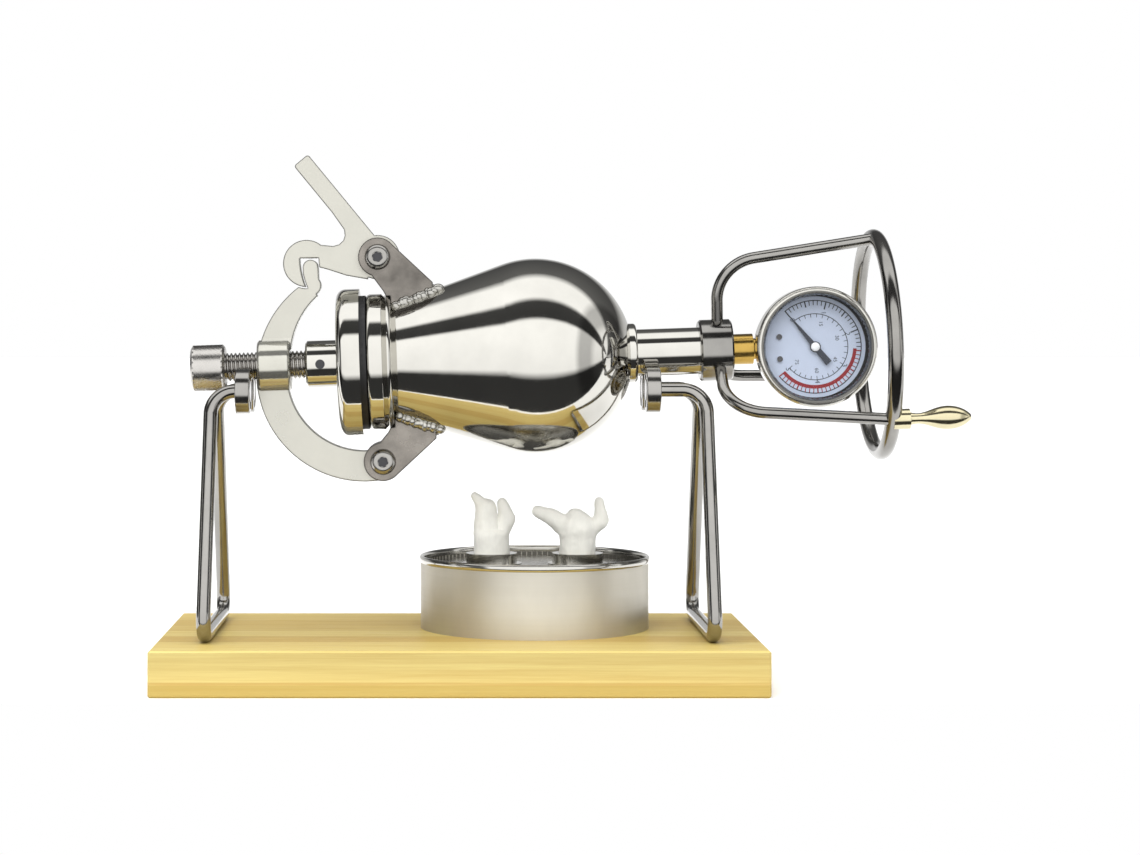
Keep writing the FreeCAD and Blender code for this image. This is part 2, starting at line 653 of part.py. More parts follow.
def yoke_arm():
    """C-shaped plate from the hinge pin, round the lid, to the finger under the latch."""
    inner = YOKE_RADIUS - YOKE_WIDTH
    finger_turn = angle_from_yoke(FINGER_U, FINGER_FOOT_W)
    hinge_turn = angle_from_yoke(HINGE_U, HINGE_W)
    room = disc(YOKE_U, YOKE_W, inner, PLATE)
    lower = sector(YOKE_U, YOKE_W, YOKE_RADIUS, 180, hinge_turn, PLATE).cut(room)
    upper = sector(YOKE_U, YOKE_W, YOKE_RADIUS, finger_turn, 180, PLATE)
    upper = upper.cut(disc(UPPER_U, UPPER_W, UPPER_RADIUS, PLATE)).cut(room).cut(jaw_room())
    finger = fuse([bar((FINGER_U, FINGER_FOOT_W), (FINGER_U, FINGER_W), FINGER, PLATE),
                   disc(FINGER_U, FINGER_W, FINGER / 2, PLATE),
                   disc(FINGER_U, FINGER_FOOT_W, FINGER_FOOT / 2, PLATE)])
    finger = finger.cut(jaw_room()).cut(disc(LATCH_U, LATCH_W, JAW_SLOT_INNER + 2 * GAP, PLATE))
    end = disc(HINGE_U, HINGE_W, YOKE_END, PLATE)
    bush = rod_u(BUSH_AT, BUSH_AT + BUSH_LENGTH, BUSH)
    bush = bush.makeChamfer(PLATE / 10, [edge for edge in bush.Edges if edge.BoundBox.XLength < RUN])
    yoke = fuse([lower, upper, finger, end, bush])
    yoke = yoke.cut(rod_u(BUSH_AT - YOKE_WIDTH, 0, SCREW + 2 * RUN))
    return yoke.cut(rod_y(HINGE_U, HINGE_W, -PLATE, PLATE, PIN + 2 * RUN))


def latch_lever():
    """Handle, pivot boss and a round jaw; its slot runs about the latch pin, to swing off the finger."""
    tip = (LATCH_U - HANDLE_TIP_BACK, LATCH_W + HANDLE_TIP_RISE)
    foot = (LATCH_U - HANDLE_FOOT_BACK, LATCH_W + HANDLE_FOOT_RISE)
    handle = bar(tip, foot, HANDLE, PLATE)
    handle = handle.makeFillet(HANDLE_EDGE, edges_where(
        handle, lambda centre, edge: centre.z > tip[1] - HANDLE and edge.BoundBox.YLength > RUN))
    corners = [(LATCH_U + u, LATCH_W + w) for u, w in WEB_TOP + ((0, 0),) + WEB_UNDERSIDE]
    inside = disc(LATCH_U, LATCH_W, JAW_SLOT_INNER, PLATE)
    jaw = disc(JAW_U, JAW_W, JAW_RADIUS, PLATE).cut(inside)
    boss = disc(LATCH_U, LATCH_W, LEVER_BOSS, PLATE)
    lever = fuse([handle, plate(corners, PLATE), jaw, boss])
    slot = sector(LATCH_U, LATCH_W, JAW_SLOT_OUTER, 180 - JAW_SLOT_TOP, 180 + JAW_SLOT_SWEEP, PLATE)
    lever = lever.cut(slot.cut(inside))
    lever = max(lever.Solids, key=lambda solid: solid.Volume)
    return lever.cut(rod_y(LATCH_U, LATCH_W, -PLATE, PLATE, PIN + 2 * RUN))


# Pressure gauge

def gauge_adapter():
    thread = rod_u(HUB_END - ADAPTER_THREAD_LENGTH, HUB_END, ADAPTER_THREAD)
    body = fuse([rod_u(HUB_END, ADAPTER_END, ADAPTER), thread])
    body = body.cut(rod_u(HUB_AT, ADAPTER_END, NECK_BORE / 2))
    return body.cut(rod_u(ADAPTER_END - STEM_GRIP, ADAPTER_END, STEM + 2 * FIT))


def gauge_bar(front, back, diameter):
    return rod_y(GAUGE_AT, 0, front, back, diameter)


def case_room():
    """Inside of the case."""
    return gauge_bar(CASE_FRONT, CASE_FRONT + CASE_DEPTH - CASE_WALL, CASE - 2 * CASE_WALL)


def gauge_case():
    back = CASE_FRONT + CASE_DEPTH
    case = gauge_bar(CASE_FRONT, back, CASE)
    case = case.makeFillet(CASE_WALL, [edge for edge in case.Edges if edge.BoundBox.YMin > back - RUN])
    return case.cut(case_room()).cut(rod_u(ADAPTER_END, GAUGE_AT, STEM + 2 * FIT))


def gauge_bezel():
    front = LENS_FRONT - BEZEL_LIP
    ring = gauge_bar(front, CASE_FRONT + BEZEL_SKIRT, BEZEL)
    ring = ring.makeFillet(BEZEL_LIP * 0.9, [edge for edge in ring.Edges if edge.BoundBox.YMax < front + RUN])
    ring = ring.cut(gauge_bar(LENS_FRONT, CASE_FRONT + BEZEL_SKIRT, CASE + 2 * FIT))
    opening = Part.makeCone(BEZEL_OPENING / 2 + BEZEL_LIP / 2, BEZEL_OPENING / 2, LENS_FRONT - front,
                            Vector(GAUGE_AT, front, 0), Vector(0, 1, 0))
    return ring.cut(opening)


def gauge_lens():
    return gauge_bar(LENS_FRONT, CASE_FRONT, CASE - 2 * FIT)


def dial_screw_places():
    return [(GAUGE_AT - DIAL_SCREW_OUT, side * DIAL_SCREW_HALF) for side in (-1, 1)]


def gauge_dial():
    dial = gauge_bar(DIAL_FACE, DIAL_BACK, DIAL).cut(gauge_bar(DIAL_FACE, DIAL_BACK, ARBOR + 4 * GAP))
    holes = [rod_y(u, w, DIAL_FACE, DIAL_BACK, DIAL_SCREW / 2 + 2 * FIT) for u, w in dial_screw_places()]
    return dial.cut(group(holes))


def dial_screws():
    screws = []
    for u, w in dial_screw_places():
        head = rod_y(u, w, DIAL_FACE - DIAL_SCREW / 3, DIAL_FACE, DIAL_SCREW)
        screws.append(fuse([head, rod_y(u, w, DIAL_FACE, PLATE_FRONT, DIAL_SCREW / 2)]))
    return group(screws)


def gauge_socket():
    """Stem that screws into the adapter, ending in a block inside the case that carries the movement."""
    inner = GAUGE_AT - CASE / 2 + CASE_WALL
    rear = PLATE_REAR + MOVEMENT_PLATE
    block = Part.makeBox(SOCKET, SOCKET, SOCKET, Vector(inner, rear, -SOCKET / 2))
    stem = rod_u(ADAPTER_END - STEM_GRIP, inner, STEM)
    lip = Part.makeBox(STEM / 2, SOCKET, STEM, Vector(inner, rear - SOCKET / 2, -STEM / 2))
    socket = fuse([fuse([block, lip]).common(case_room()), stem])
    return socket.cut(rod_u(HUB_AT, inner + SOCKET / 2, NECK_BORE / 2)).cut(movement_envelope())


def movement_envelope():
    """Room that the two plates take in front of the socket."""
    return gauge_bar(CASE_FRONT, PLATE_REAR + MOVEMENT_PLATE, CASE - 6 * CASE_WALL)


def bourdon_tube():
    """C-shaped tube from the socket round the back of the case."""
    depth = PLATE_REAR + MOVEMENT_PLATE + SOCKET / 2
    centre = Vector(GAUGE_AT, depth, 0)
    turns = [math.radians(180 + BOURDON_SWEEP * share) for share in (0, 0.5, 1)]
    first, middle, last = [centre + Vector(math.cos(a), 0, math.sin(a)) * BOURDON_RADIUS for a in turns]
    circle = Part.Wire(Part.makeCircle(BOURDON_TUBE / 2, first, Vector(0, 0, -1)))
    tube = Part.Wire(Part.Arc(first, middle, last).toShape()).makePipeShell([circle], True, False)
    return tube.cut(gauge_socket())


def sector_pivot():
    return GAUGE_AT, -(SECTOR_RADIUS + PINION_RADIUS + GAP / 2)


def movement_frame():
    """Two plates on posts that hold the sector and the needle's arbor."""
    pivot_u, pivot_w = sector_pivot()
    half = MOVEMENT_HALF
    left = GAUGE_AT - CASE / 2 + 3 * CASE_WALL
    outline = [(left, -half), (GAUGE_AT + half, pivot_w - half), (GAUGE_AT + half, half), (left, half)]
    pieces = []
    for start in (PLATE_FRONT, PLATE_REAR):
        sheet = plate(outline, MOVEMENT_PLATE)
        sheet.translate(Vector(0, start + MOVEMENT_PLATE / 2, 0))
        sheet = sheet.common(gauge_bar(CASE_FRONT, CASE_DEPTH, CASE - 6 * CASE_WALL))
        pieces.append(sheet.cut(gauge_bar(start, start + MOVEMENT_PLATE, ARBOR + 2 * RUN)))
    front = PLATE_FRONT + MOVEMENT_PLATE
    for u, w in [(left + half, half * 0.6), (left + half, -half * 0.6)]:
        pieces.append(rod_y(u, w, front, PLATE_REAR, MOVEMENT_POST))
    pieces.append(rod_y(pivot_u, pivot_w, front, PLATE_REAR, ARBOR))
    return fuse(pieces)


GEAR_FRONT = PLATE_FRONT + MOVEMENT_PLATE + MOVEMENT_GAP * 0.3
GEAR_BACK = PLATE_FRONT + MOVEMENT_PLATE + MOVEMENT_GAP * 0.6


def sector_gear():
    """Toothless pitch form of the quadrant that drives the needle's pinion, with its tail."""
    u, w = sector_pivot()
    thickness = GEAR_BACK - GEAR_FRONT
    margin = SECTOR_TRAVEL / 9
    mesh = math.degrees(math.atan2(-w, GAUGE_AT - u))
    blade = sector(u, w, SECTOR_RADIUS, mesh - SECTOR_TRAVEL - margin, mesh + margin, thickness)
    tail = bar((u, w), (u + SECTOR_TAIL, w), ARBOR, thickness)
    gear = fuse([blade, disc(u, w, ARBOR * 1.5, thickness), tail])
    gear.translate(Vector(0, (GEAR_FRONT + GEAR_BACK) / 2, 0))
    return gear.cut(rod_y(u, w, GEAR_FRONT, GEAR_BACK, ARBOR + 2 * RUN))


def gauge_link():
    """Strip from the free end of the tube towards the sector's tail."""
    turn = math.radians(180 + BOURDON_SWEEP)
    reach = BOURDON_RADIUS - BOURDON_TUBE / 2 - GAP
    front = PLATE_REAR + MOVEMENT_PLATE + SOCKET / 2 - BOURDON_TUBE / 2
    end_u = GAUGE_AT + reach * math.cos(turn)
    end_w = reach * math.sin(turn)
    strip = bar((end_u, end_w), (GAUGE_AT + MOVEMENT_HALF + ARBOR, 0), ARBOR, MOVEMENT_PLATE)
    strip.translate(Vector(0, front + MOVEMENT_PLATE / 2, 0))
    return strip


def needle_pinion():
    arbor = gauge_bar(NEEDLE_FACE + NEEDLE_THICKNESS, PLATE_REAR + MOVEMENT_PLATE, ARBOR)
    return fuse([arbor, gauge_bar(GEAR_FRONT, GEAR_BACK, PINION_RADIUS * 2 - GAP)])


def gauge_needle():
    """Thin pointer with a broad tail and a round hub."""
    half = NEEDLE_HUB / 4
    point = half / 6
    end = half * 1.3
    blade = plate([(0, half), (NEEDLE_LENGTH, point), (NEEDLE_LENGTH, -point), (0, -half)], NEEDLE_THICKNESS)
    tail = plate([(0, half), (0, -half), (-NEEDLE_TAIL, -end), (-NEEDLE_TAIL, end)], NEEDLE_THICKNESS)
    hub = disc(0, 0, NEEDLE_HUB / 2, NEEDLE_THICKNESS)
    needle = fuse([blade, tail, hub])
    needle.rotate(Vector(0, 0, 0), Vector(0, 1, 0), -NEEDLE_ZERO)
    needle.translate(Vector(GAUGE_AT, NEEDLE_FACE + NEEDLE_THICKNESS / 2, 0))
    return needle


# Burner

def upright(x, bottom, top, diameter):
    """Round bar on the burner's own middle line."""
    return Part.makeCylinder(diameter / 2, top - bottom, Vector(BURNER_X + x, BURNER_Y, bottom))


def wick_places():
    return [side * WICK_HALF for side in (-1, 1)]


def burner_can():
    inside = upright(0, BOARD_TOP + CAN_WALL, CAN_TOP, CAN - 2 * CAN_WALL)
    can = upright(0, BOARD_TOP, CAN_TOP, CAN).cut(inside)
    rim = Part.makeTorus(CAN / 2 - CAN_WALL / 2, RIM / 2, Vector(BURNER_X, BURNER_Y, CAN_TOP - RIM / 2))
    return fuse([can, rim])


def burner_top():
    """Recessed lid of the can with a hole for each collar."""
    edge = CAN - 2 * CAN_WALL - 2 * FIT
    top = upright(0, BURNER_TOP - TOP_THICKNESS, BURNER_TOP, edge)
    return top.cut(group([upright(x, BOARD_TOP, CAN_TOP, COLLAR + 2 * FIT) for x in wick_places()]))


def wick_collars():
    collars = []
    for x in wick_places():
        sleeve = upright(x, BURNER_TOP - TOP_THICKNESS, BURNER_TOP + COLLAR_HEIGHT, COLLAR)
        flange = upright(x, BURNER_TOP, BURNER_TOP + COLLAR_FLANGE_THICKNESS, COLLAR_FLANGE)
        bore = upright(x, BOARD_TOP, CAN_TOP + COLLAR_HEIGHT, WICK + 2 * FIT)
        collars.append(fuse([sleeve, flange]).cut(bore))
    return group(collars)


def horn(start, end, thick, thin):
    """Tapering round tuft between two points beside the wick's middle."""
    low = Vector(*start)
    high = Vector(*end)
    run = high - low
    cone = Part.makeCone(thick, thin, run.Length, low, run)
    return fuse([cone, Part.makeSphere(thick, low), Part.makeSphere(thin, high)])


def wick(x, tufts):
    """Cotton wick with its frayed tufts; foot and tip are shares beside the wick and of its height."""
    shoulder = CAN_TOP + WICK_HEIGHT * WICK_SHOULDER
    pieces = [upright(x, BOARD_TOP + CAN_WALL + GAP, shoulder, WICK)]
    for (foot, low), (tip, high), thick, thin in tufts:
        middle = BURNER_X + x
        pieces.append(horn((middle + foot * WICK, BURNER_Y, CAN_TOP + WICK_HEIGHT * low),
                           (middle + tip * WICK, BURNER_Y, CAN_TOP + WICK_HEIGHT * high),
                           thick * WICK, thin * WICK))
    return fuse(pieces)


def main():
    os.makedirs("parts", exist_ok=True)
    save("base_board", base_board())
    save("stand_screws", stand_screws())
    save("stand_left", stand(STAND_LEFT_X, ROLLER_LEFT_X, LEFT_Z))
    save("stand_right", stand(STAND_RIGHT_X, ROLLER_RIGHT_X, RIGHT_Z))
    save("roller_inner_rings", roller_inner_rings())
    save("roller_balls", roller_balls())
    for name, place in ROLLERS.items():
        save(name, roller_outer(place))

    spinning = {
        "vessel_shell": vessel_shell(),
        "mouth_flange": mouth_flange(),
        "neck_tube": neck_tube(),
        "neck_weld_ring": neck_weld_ring(),
        "latch_lug": lug(LATCH_U, LATCH_W),
        "hinge_lug": lug(HINGE_U, HINGE_W),
        "latch_pin": pivot_pin(LATCH_U, LATCH_W),
        "hinge_pin": pivot_pin(HINGE_U, HINGE_W),
        "crank_hub": crank_hub(),
        "crank_ring": crank_ring(),
        "grip_pin": grip_pin(),
        "grip_ferrule": grip_ferrule(),
        "crank_grip": crank_grip(),
        "lid_disc": lid_disc(),
        "lid_gasket": lid_gasket(),
        "lid_boss": lid_boss(),
        "boss_set_screw": boss_set_screw(),
        "clamp_screw": clamp_screw(),
        "screw_knob": screw_knob(),
        "yoke_arm": yoke_arm(),
        "latch_lever": latch_lever(),
        "gauge_adapter": gauge_adapter(),
        "gauge_case": gauge_case(),
        "gauge_bezel": gauge_bezel(),
        "gauge_lens": gauge_lens(),
        "gauge_dial": gauge_dial(),
        "dial_screws": dial_screws(),
        "gauge_socket": gauge_socket(),
        "bourdon_tube": bourdon_tube(),
        "movement_frame": movement_frame(),
        "sector_gear": sector_gear(),
        "gauge_link": gauge_link(),
        "needle_pinion": needle_pinion(),
        "gauge_needle": gauge_needle(),
    }
    for number, angle in enumerate(SPOKE_ANGLES, 1):
        spinning["crank_spoke_" + str(number)] = crank_spoke(angle)
    for name, shape in spinning.items():
        save(name, on_axis(shape))

    save("burner_can", burner_can())
    save("burner_top", burner_top())
    save("wick_collars", wick_collars())
    save("wick_left", wick(-WICK_HALF, LEFT_TUFTS))
    save("wick_right", wick(WICK_HALF, RIGHT_TUFTS))


main()
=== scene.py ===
"""Dresses a hand-cranked popcorn maker: finishes for its solids, fine turned details and a studio stage."""
import json
import math
import random

import bmesh
import bpy
from bpy.props import FloatProperty, FloatVectorProperty, IntProperty, PointerProperty
from mathutils import Matrix, Vector


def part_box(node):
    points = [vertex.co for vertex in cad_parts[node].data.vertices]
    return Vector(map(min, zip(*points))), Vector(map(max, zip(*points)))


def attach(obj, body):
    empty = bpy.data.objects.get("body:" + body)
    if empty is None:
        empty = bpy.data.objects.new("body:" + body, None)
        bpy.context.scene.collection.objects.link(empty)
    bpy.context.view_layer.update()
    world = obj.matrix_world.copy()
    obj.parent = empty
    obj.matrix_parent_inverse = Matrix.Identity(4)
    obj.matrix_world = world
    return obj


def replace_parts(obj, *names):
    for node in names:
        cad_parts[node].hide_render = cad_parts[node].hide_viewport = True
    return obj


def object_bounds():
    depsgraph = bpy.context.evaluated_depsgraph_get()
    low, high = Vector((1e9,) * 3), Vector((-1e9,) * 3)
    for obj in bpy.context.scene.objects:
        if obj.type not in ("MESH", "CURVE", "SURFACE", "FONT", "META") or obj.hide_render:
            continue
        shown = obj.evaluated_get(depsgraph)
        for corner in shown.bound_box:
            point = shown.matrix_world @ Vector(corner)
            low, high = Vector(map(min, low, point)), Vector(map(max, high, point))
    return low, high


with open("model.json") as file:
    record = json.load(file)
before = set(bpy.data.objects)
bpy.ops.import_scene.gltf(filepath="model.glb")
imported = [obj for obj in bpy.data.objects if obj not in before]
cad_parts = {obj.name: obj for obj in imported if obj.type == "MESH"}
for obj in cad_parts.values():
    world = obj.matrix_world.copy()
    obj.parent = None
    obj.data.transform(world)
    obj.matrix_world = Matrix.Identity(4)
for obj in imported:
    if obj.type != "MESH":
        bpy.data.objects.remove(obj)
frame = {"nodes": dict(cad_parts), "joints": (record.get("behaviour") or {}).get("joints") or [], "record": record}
CAD_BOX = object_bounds()

bl_info = {
    "name": "Popcorn maker dressing",
    "version": (1, 0, 0),
    "blender": (4, 5, 0),
    "location": "3D View > Sidebar > Popcorn maker",
    "description": "Finishes, fine details and a studio stage for a hand-cranked popcorn maker",
    "category": "Object",
}

MM = 0.001
ALONG = Vector((1, 0, 0))
BACK = Vector((0, 1, 0))
UP = Vector((0, 0, 1))

# Segments of a round piece, and the distance within which its corners become one
ROUND = 48
MERGE = 0.002 * MM

# Width of the picture in pixels, over which the camera's focal length and shifts are given
PICTURE = 1140


# Places

def spin_frame():
    """The vessel's own frame: x along its axis from the mouth, y to the back, z up."""
    joint = next(joint for joint in frame["joints"] if joint["name"] == "vessel_spin")
    along = Vector(joint["axis"]).normalized()
    tilt = math.atan2(along.z, along.x)
    return Matrix.Translation(Vector(joint["pos_m"])) @ Matrix.Rotation(-tilt, 4, "Y")


SPIN = spin_frame()


def axis_box(node):
    """Lowest and highest corners of a node in the vessel's own frame."""
    back = SPIN.inverted()
    points = [back @ vertex.co for vertex in frame["nodes"][node].data.vertices]
    low = Vector([min(point[i] for point in points) for i in range(3)])
    high = Vector([max(point[i] for point in points) for i in range(3)])
    return low, high


def middle(box):
    low, high = box
    return (low + high) / 2


# Settings

def colour(name, default, description):
    return FloatVectorProperty(name=name, default=default, size=3, min=0, max=1, subtype="COLOR",
                               description=description)


def length(name, default, description):
    return FloatProperty(name=name, default=default, min=0, unit="LENGTH", description=description)


def count(name, default, least, description):
    return IntProperty(name=name, default=default, min=least, description=description)


def brightness(name, default, description, unit="NONE"):
    return FloatProperty(name=name, default=default, min=0, unit=unit, description=description)


def ratio(name, default, description):
    return FloatProperty(name=name, default=default, description=description)


class PopcornFinishes(bpy.types.PropertyGroup):
    """Colours of the finishes."""
    steel: colour("Mirror steel", (0.64, 0.627, 0.583), "Tint of the polished vessel, lid, neck and can top")
    rod: colour("Rod steel", (0.375, 0.365, 0.345), "Tint of the stands, crank, rollers and screws")
    satin: colour("Satin steel", (0.585, 0.575, 0.515), "Cream-white tint of the yoke and the latch")
    lug: colour("Lugs", (0.31, 0.285, 0.255), "Darker tint of the lugs")
    tool: colour("Machined steel", (0.60, 0.58, 0.55), "Tint of the clamp screw's knob and thread")
    brass: colour("Brass", (0.54, 0.355, 0.09), "Tint of the gauge's fitting")
    gold: colour("Grip brass", (0.70, 0.635, 0.42), "Tint of the polished grip")
    tin: colour("Tinplate", (0.64, 0.615, 0.545), "Tint of the burner's can")
    cotton: colour("Cotton", (0.86, 0.85, 0.785), "Colour of the wicks")
    bamboo_light: colour("Light bamboo", (0.635, 0.515, 0.18), "Palest strips of the board")
    bamboo_dark: colour("Dark bamboo", (0.475, 0.32, 0.082), "Grain and joints of the board")
    bamboo_base: colour("Lowest lamella", (0.40, 0.285, 0.055), "Orange layer along the foot of the board")
    dial: colour("Dial", (0.53, 0.60, 0.745), "Pale face of the gauge")
    ink: colour("Dial ink", (0.03, 0.035, 0.05), "Scale and needle")
    warning: colour("Warning arc", (0.27, 0.006, 0.012), "High end of the gauge's scale")


class PopcornDetails(bpy.types.PropertyGroup):
    """Sizes of the fine details."""
    pitch: length("Thread pitch", 1.75 * MM, "Advance of the clamp screw in one turn")
    thread_depth: length("Thread depth", 0.95 * MM, "Height of the clamp screw's thread")
    knurl_depth: length("Knurl depth", 0.4 * MM, "Height of the diamonds on the knob")
    knurl_teeth: count("Knurl teeth", 34, 8, "Diamonds round the knob")
    knurl_rows: count("Knurl rows", 12, 4, "Half diamonds along the knob")
    bead: length("Weld bead", 2.3 * MM, "Radius of the weld beads at the lugs")
    shield: length("Shield", 0.3 * MM, "Thickness of the rollers' shields")
    print_height: length("Print", 0.06 * MM, "Height of the dial's print")
    ticks: count("Ticks", 50, 10, "Divisions of the gauge's scale")
    figure: length("Figure height", 3.0 * MM, "Height of the dial's figures")
    rim: length("Can rim", 3.2 * MM, "Height of the bead round the can's top")
    swell: length("Wick swell", 0.9 * MM, "How far the cotton swells out of the wicks' solids")
    fray: length("Fray", 0.5 * MM, "Unevenness of the cotton")


class PopcornStage(bpy.types.PropertyGroup):
    """Floor, light and camera."""
    floor: colour("Floor", (0.93, 0.93, 0.93), "Plain pale floor")
    table: length("Table edge", 80 * MM, "Front edge of the floor before the board's middle line")
    sun_power: brightness("Ceiling", 2.1, "Wide soft light from above")
    key_power: brightness("Key light", 7.0, "Softbox above the front", unit="POWER")
    side_power: brightness("Side light", 2.5, "Softbox at the left", unit="POWER")
    sky: brightness("Room", 1.45, "Strength of the white room")
    camera_x: length("Camera across", 6.2 * MM, "Camera to the left of the board's middle")
    camera_y: length("Camera distance", 1068 * MM, "Camera in front of the board's middle line")
    camera_z: length("Camera height", 147.5 * MM, "Camera above the floor")
    focal: ratio("Focal share", 2500 / PICTURE, "Focal length over the picture's width")
    shift_x: ratio("Shift across", 126 / PICTURE, "Lens shift over the picture's width")
    shift_y: ratio("Shift up", -97.5 / PICTURE, "Lens shift over the picture's width")


# Materials

class Nodes:
    """A node tree, and short ways to add nodes to it."""

    def __init__(self, tree):
        self.tree = tree

    def node(self, kind, settings=(), **inputs):
        """Add a node. An input is a socket's name, with _ for a space, or i and the socket's number."""
        node = self.tree.nodes.new("ShaderNode" + kind)
        for name, value in dict(settings).items():
            setattr(node, name, value)
        for name, value in inputs.items():
            numbered = name[0] == "i" and name[1:].isdigit()
            socket = node.inputs[int(name[1:]) if numbered else name.replace("_", " ")]
            if isinstance(value, bpy.types.NodeSocket):
                self.tree.links.new(value, socket)
            else:
                socket.default_value = value
        return node

    def math(self, operation, first, second=0.0):
        return self.node("Math", {"operation": operation}, i0=first, i1=second).outputs["Value"]

    def weigh(self, first, first_weight, second, second_weight):
        """Sum of two values, each times its weight."""
        return self.math("ADD", self.math("MULTIPLY", first, first_weight),
                         self.math("MULTIPLY", second, second_weight))

    def spread(self, value, low, high, start=0.3, end=0.7):
        """Stretch a value from start and end to low and high."""
        return self.node("MapRange", Value=value, From_Min=start, From_Max=end, To_Min=low,
                         To_Max=high).outputs["Result"]


class Finish(Nodes):
    """A material with its shader, and the patterns that finishes share."""

    def __init__(self, name, base, metallic=0.0, roughness=0.5):
        self.material = bpy.data.materials.new(name)
        self.material.use_nodes = True
        self.material.diffuse_color = (*base, 1)
        super().__init__(self.material.node_tree)
        self.shader = self.tree.nodes["Principled BSDF"]
        self.set("Base Color", (*base, 1))
        self.set("Metallic", metallic)
        self.set("Roughness", roughness)

    def set(self, socket, value):
        self.shader.inputs[socket].default_value = value

    def link(self, output, socket):
        self.tree.links.new(output, self.shader.inputs[socket])

    def place(self, stretch=(1, 1, 1)):
        """Object coordinates, stretched."""
        where = self.node("TexCoord").outputs["Object"]
        return self.node("Mapping", Vector=where, Scale=stretch).outputs["Vector"]

    def noise(self, scale, stretch=(1, 1, 1), detail=4.0, roughness=0.55):
        return self.node("TexNoise", Vector=self.place(stretch), Scale=scale, Detail=detail,
                         Roughness=roughness).outputs["Fac"]

    def mix(self, factor, first, second):
        linked = bpy.types.NodeSocket
        first, second = (value if isinstance(value, linked) else (*value, 1) for value in (first, second))
        return self.node("Mix", {"data_type": "RGBA"}, i0=factor, i6=first, i7=second).outputs[2]

    def mottle(self, pattern, tint, darkest):
        """A tint that a pattern darkens, down to a share of it."""
        return self.mix(self.spread(pattern, 0.0, 1.0), shade(tint, darkest), tint)

    def bump(self, height, strength, distance, rounding=0.0):
        """Relief, on edges that a rounding softens."""
        bump = self.node("Bump", Height=height, Strength=strength, Distance=distance)
        if rounding:
            soft = self.node("Bevel", {"samples": 6}, Radius=rounding)
            self.tree.links.new(soft.outputs["Normal"], bump.inputs["Normal"])
        self.link(bump.outputs["Normal"], "Normal")

    def edges(self, radius, turn):
        """How near an edge a point lies: how far a rounding of this radius would turn its face."""
        soft = self.node("Bevel", {"samples": 8}, Radius=radius).outputs["Normal"]
        flat = self.node("NewGeometry").outputs["Normal"]
        along = self.node("VectorMath", {"operation": "DOT_PRODUCT"}, i0=soft, i1=flat).outputs["Value"]
        return self.spread(along, 1.0, 0.0, start=1.0 - turn, end=1.0)

    def within(self, centre, axes, radius):
        """1 inside a radius round a centre, across two axes, and 0 elsewhere."""
        where = self.node("SeparateXYZ", Vector=self.place())
        squares = []
        for axis in axes:
            off = self.math("SUBTRACT", where.outputs[axis], centre["XYZ".index(axis)])
            squares.append(self.math("POWER", self.math("ABSOLUTE", off), 2.0))
        return self.math("LESS_THAN", self.math("SQRT", self.math("ADD", *squares)), radius)

    def inside(self, low, high):
        """1 between two (x, z) corners, seen from the front, and 0 elsewhere."""
        where = self.node("SeparateXYZ", Vector=self.place())
        both = 1.0
        for axis, start, end in zip("XZ", low, high):
            off = self.math("ABSOLUTE", self.math("SUBTRACT", where.outputs[axis], (start + end) / 2))
            both = self.math("MULTIPLY", self.math("LESS_THAN", off, (end - start) / 2), both)
        return both


def shade(tint, share):
    return tuple(channel * share for channel in tint)


def metal(name, tint, roughness, grain=300.0, waviness=0.0, darkest=0.88):
    """Bare metal with smudges in its gloss, faint stains in its tint and slow waves in its surface."""
    finish = Finish(name, tint, metallic=1.0)
    smudge = finish.noise(scale=45.0, detail=6.0)
    scuffs = finish.noise(scale=grain, detail=3.0)
    waves = finish.noise(scale=22.0, detail=1.0)
    finish.link(finish.mottle(smudge, tint, darkest), "Base Color")
    finish.link(finish.spread(finish.weigh(smudge, 0.5, scuffs, 0.5), *roughness), "Roughness")
    finish.bump(finish.weigh(waves, waviness, scuffs, 0.02), strength=0.25, distance=1.0 * MM)
    return finish.material


def satin_metal(name, tint, roughness, darkest, turned=None):
    """Cast plate, tumbled to a satin, with painted shade along its edges for the dark reflections of rounded
    edges, and polished where it was turned.
    """
    edge_width = 1.1 * MM
    edge_turn = 0.14
    painted_edge_cover = 0.92
    painted_edge_shade = 0.06
    polish = 0.7
    finish = Finish(name, tint, metallic=0.82)
    cloud = finish.noise(scale=60.0, detail=5.0)
    # Painted shade: the base colour turns nearly black along the edges, standing in for the dark reflections of
    # rounded edges
    edge = finish.math("MULTIPLY", finish.edges(edge_width, edge_turn), painted_edge_cover)
    finish.link(finish.mix(edge, finish.mottle(cloud, tint, darkest), shade(tint, painted_edge_shade)), "Base Color")
    gloss = finish.spread(cloud, *roughness)
    if turned:
        smoother = finish.math("MULTIPLY", finish.inside(*turned), polish)
        gloss = finish.math("MULTIPLY", gloss, finish.math("SUBTRACT", 1.0, smoother))
    finish.link(gloss, "Roughness")
    finish.bump(finish.noise(scale=160.0, detail=2.0), strength=0.12, distance=0.3 * MM, rounding=0.9 * MM)
    return finish.material


def tinplate(tint):
    """Rolled sheet with a fine level grain round the can, with painted shade darkening it inside the can."""
    wall = 1.2 * MM
    painted_inner_shade = 0.3
    finish = Finish("tinplate", tint, metallic=0.9)
    lines = finish.noise(scale=9.0, stretch=(1, 1, 130))
    cloud = finish.noise(scale=38.0, stretch=(1, 1, 0.4))
    low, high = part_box("burner_can")
    # Painted shade: inside the wall the sheet is darkened, for the shade within the can
    inner = finish.within(middle((low, high)), "XY", (high.x - low.x) / 2 - wall)
    sheet = finish.mottle(cloud, tint, darkest=0.86)
    finish.link(finish.mix(inner, sheet, shade(tint, painted_inner_shade)), "Base Color")
    finish.link(finish.spread(lines, 0.42, 0.5), "Roughness")
    finish.bump(lines, strength=0.05, distance=0.05 * MM)
    return finish.material


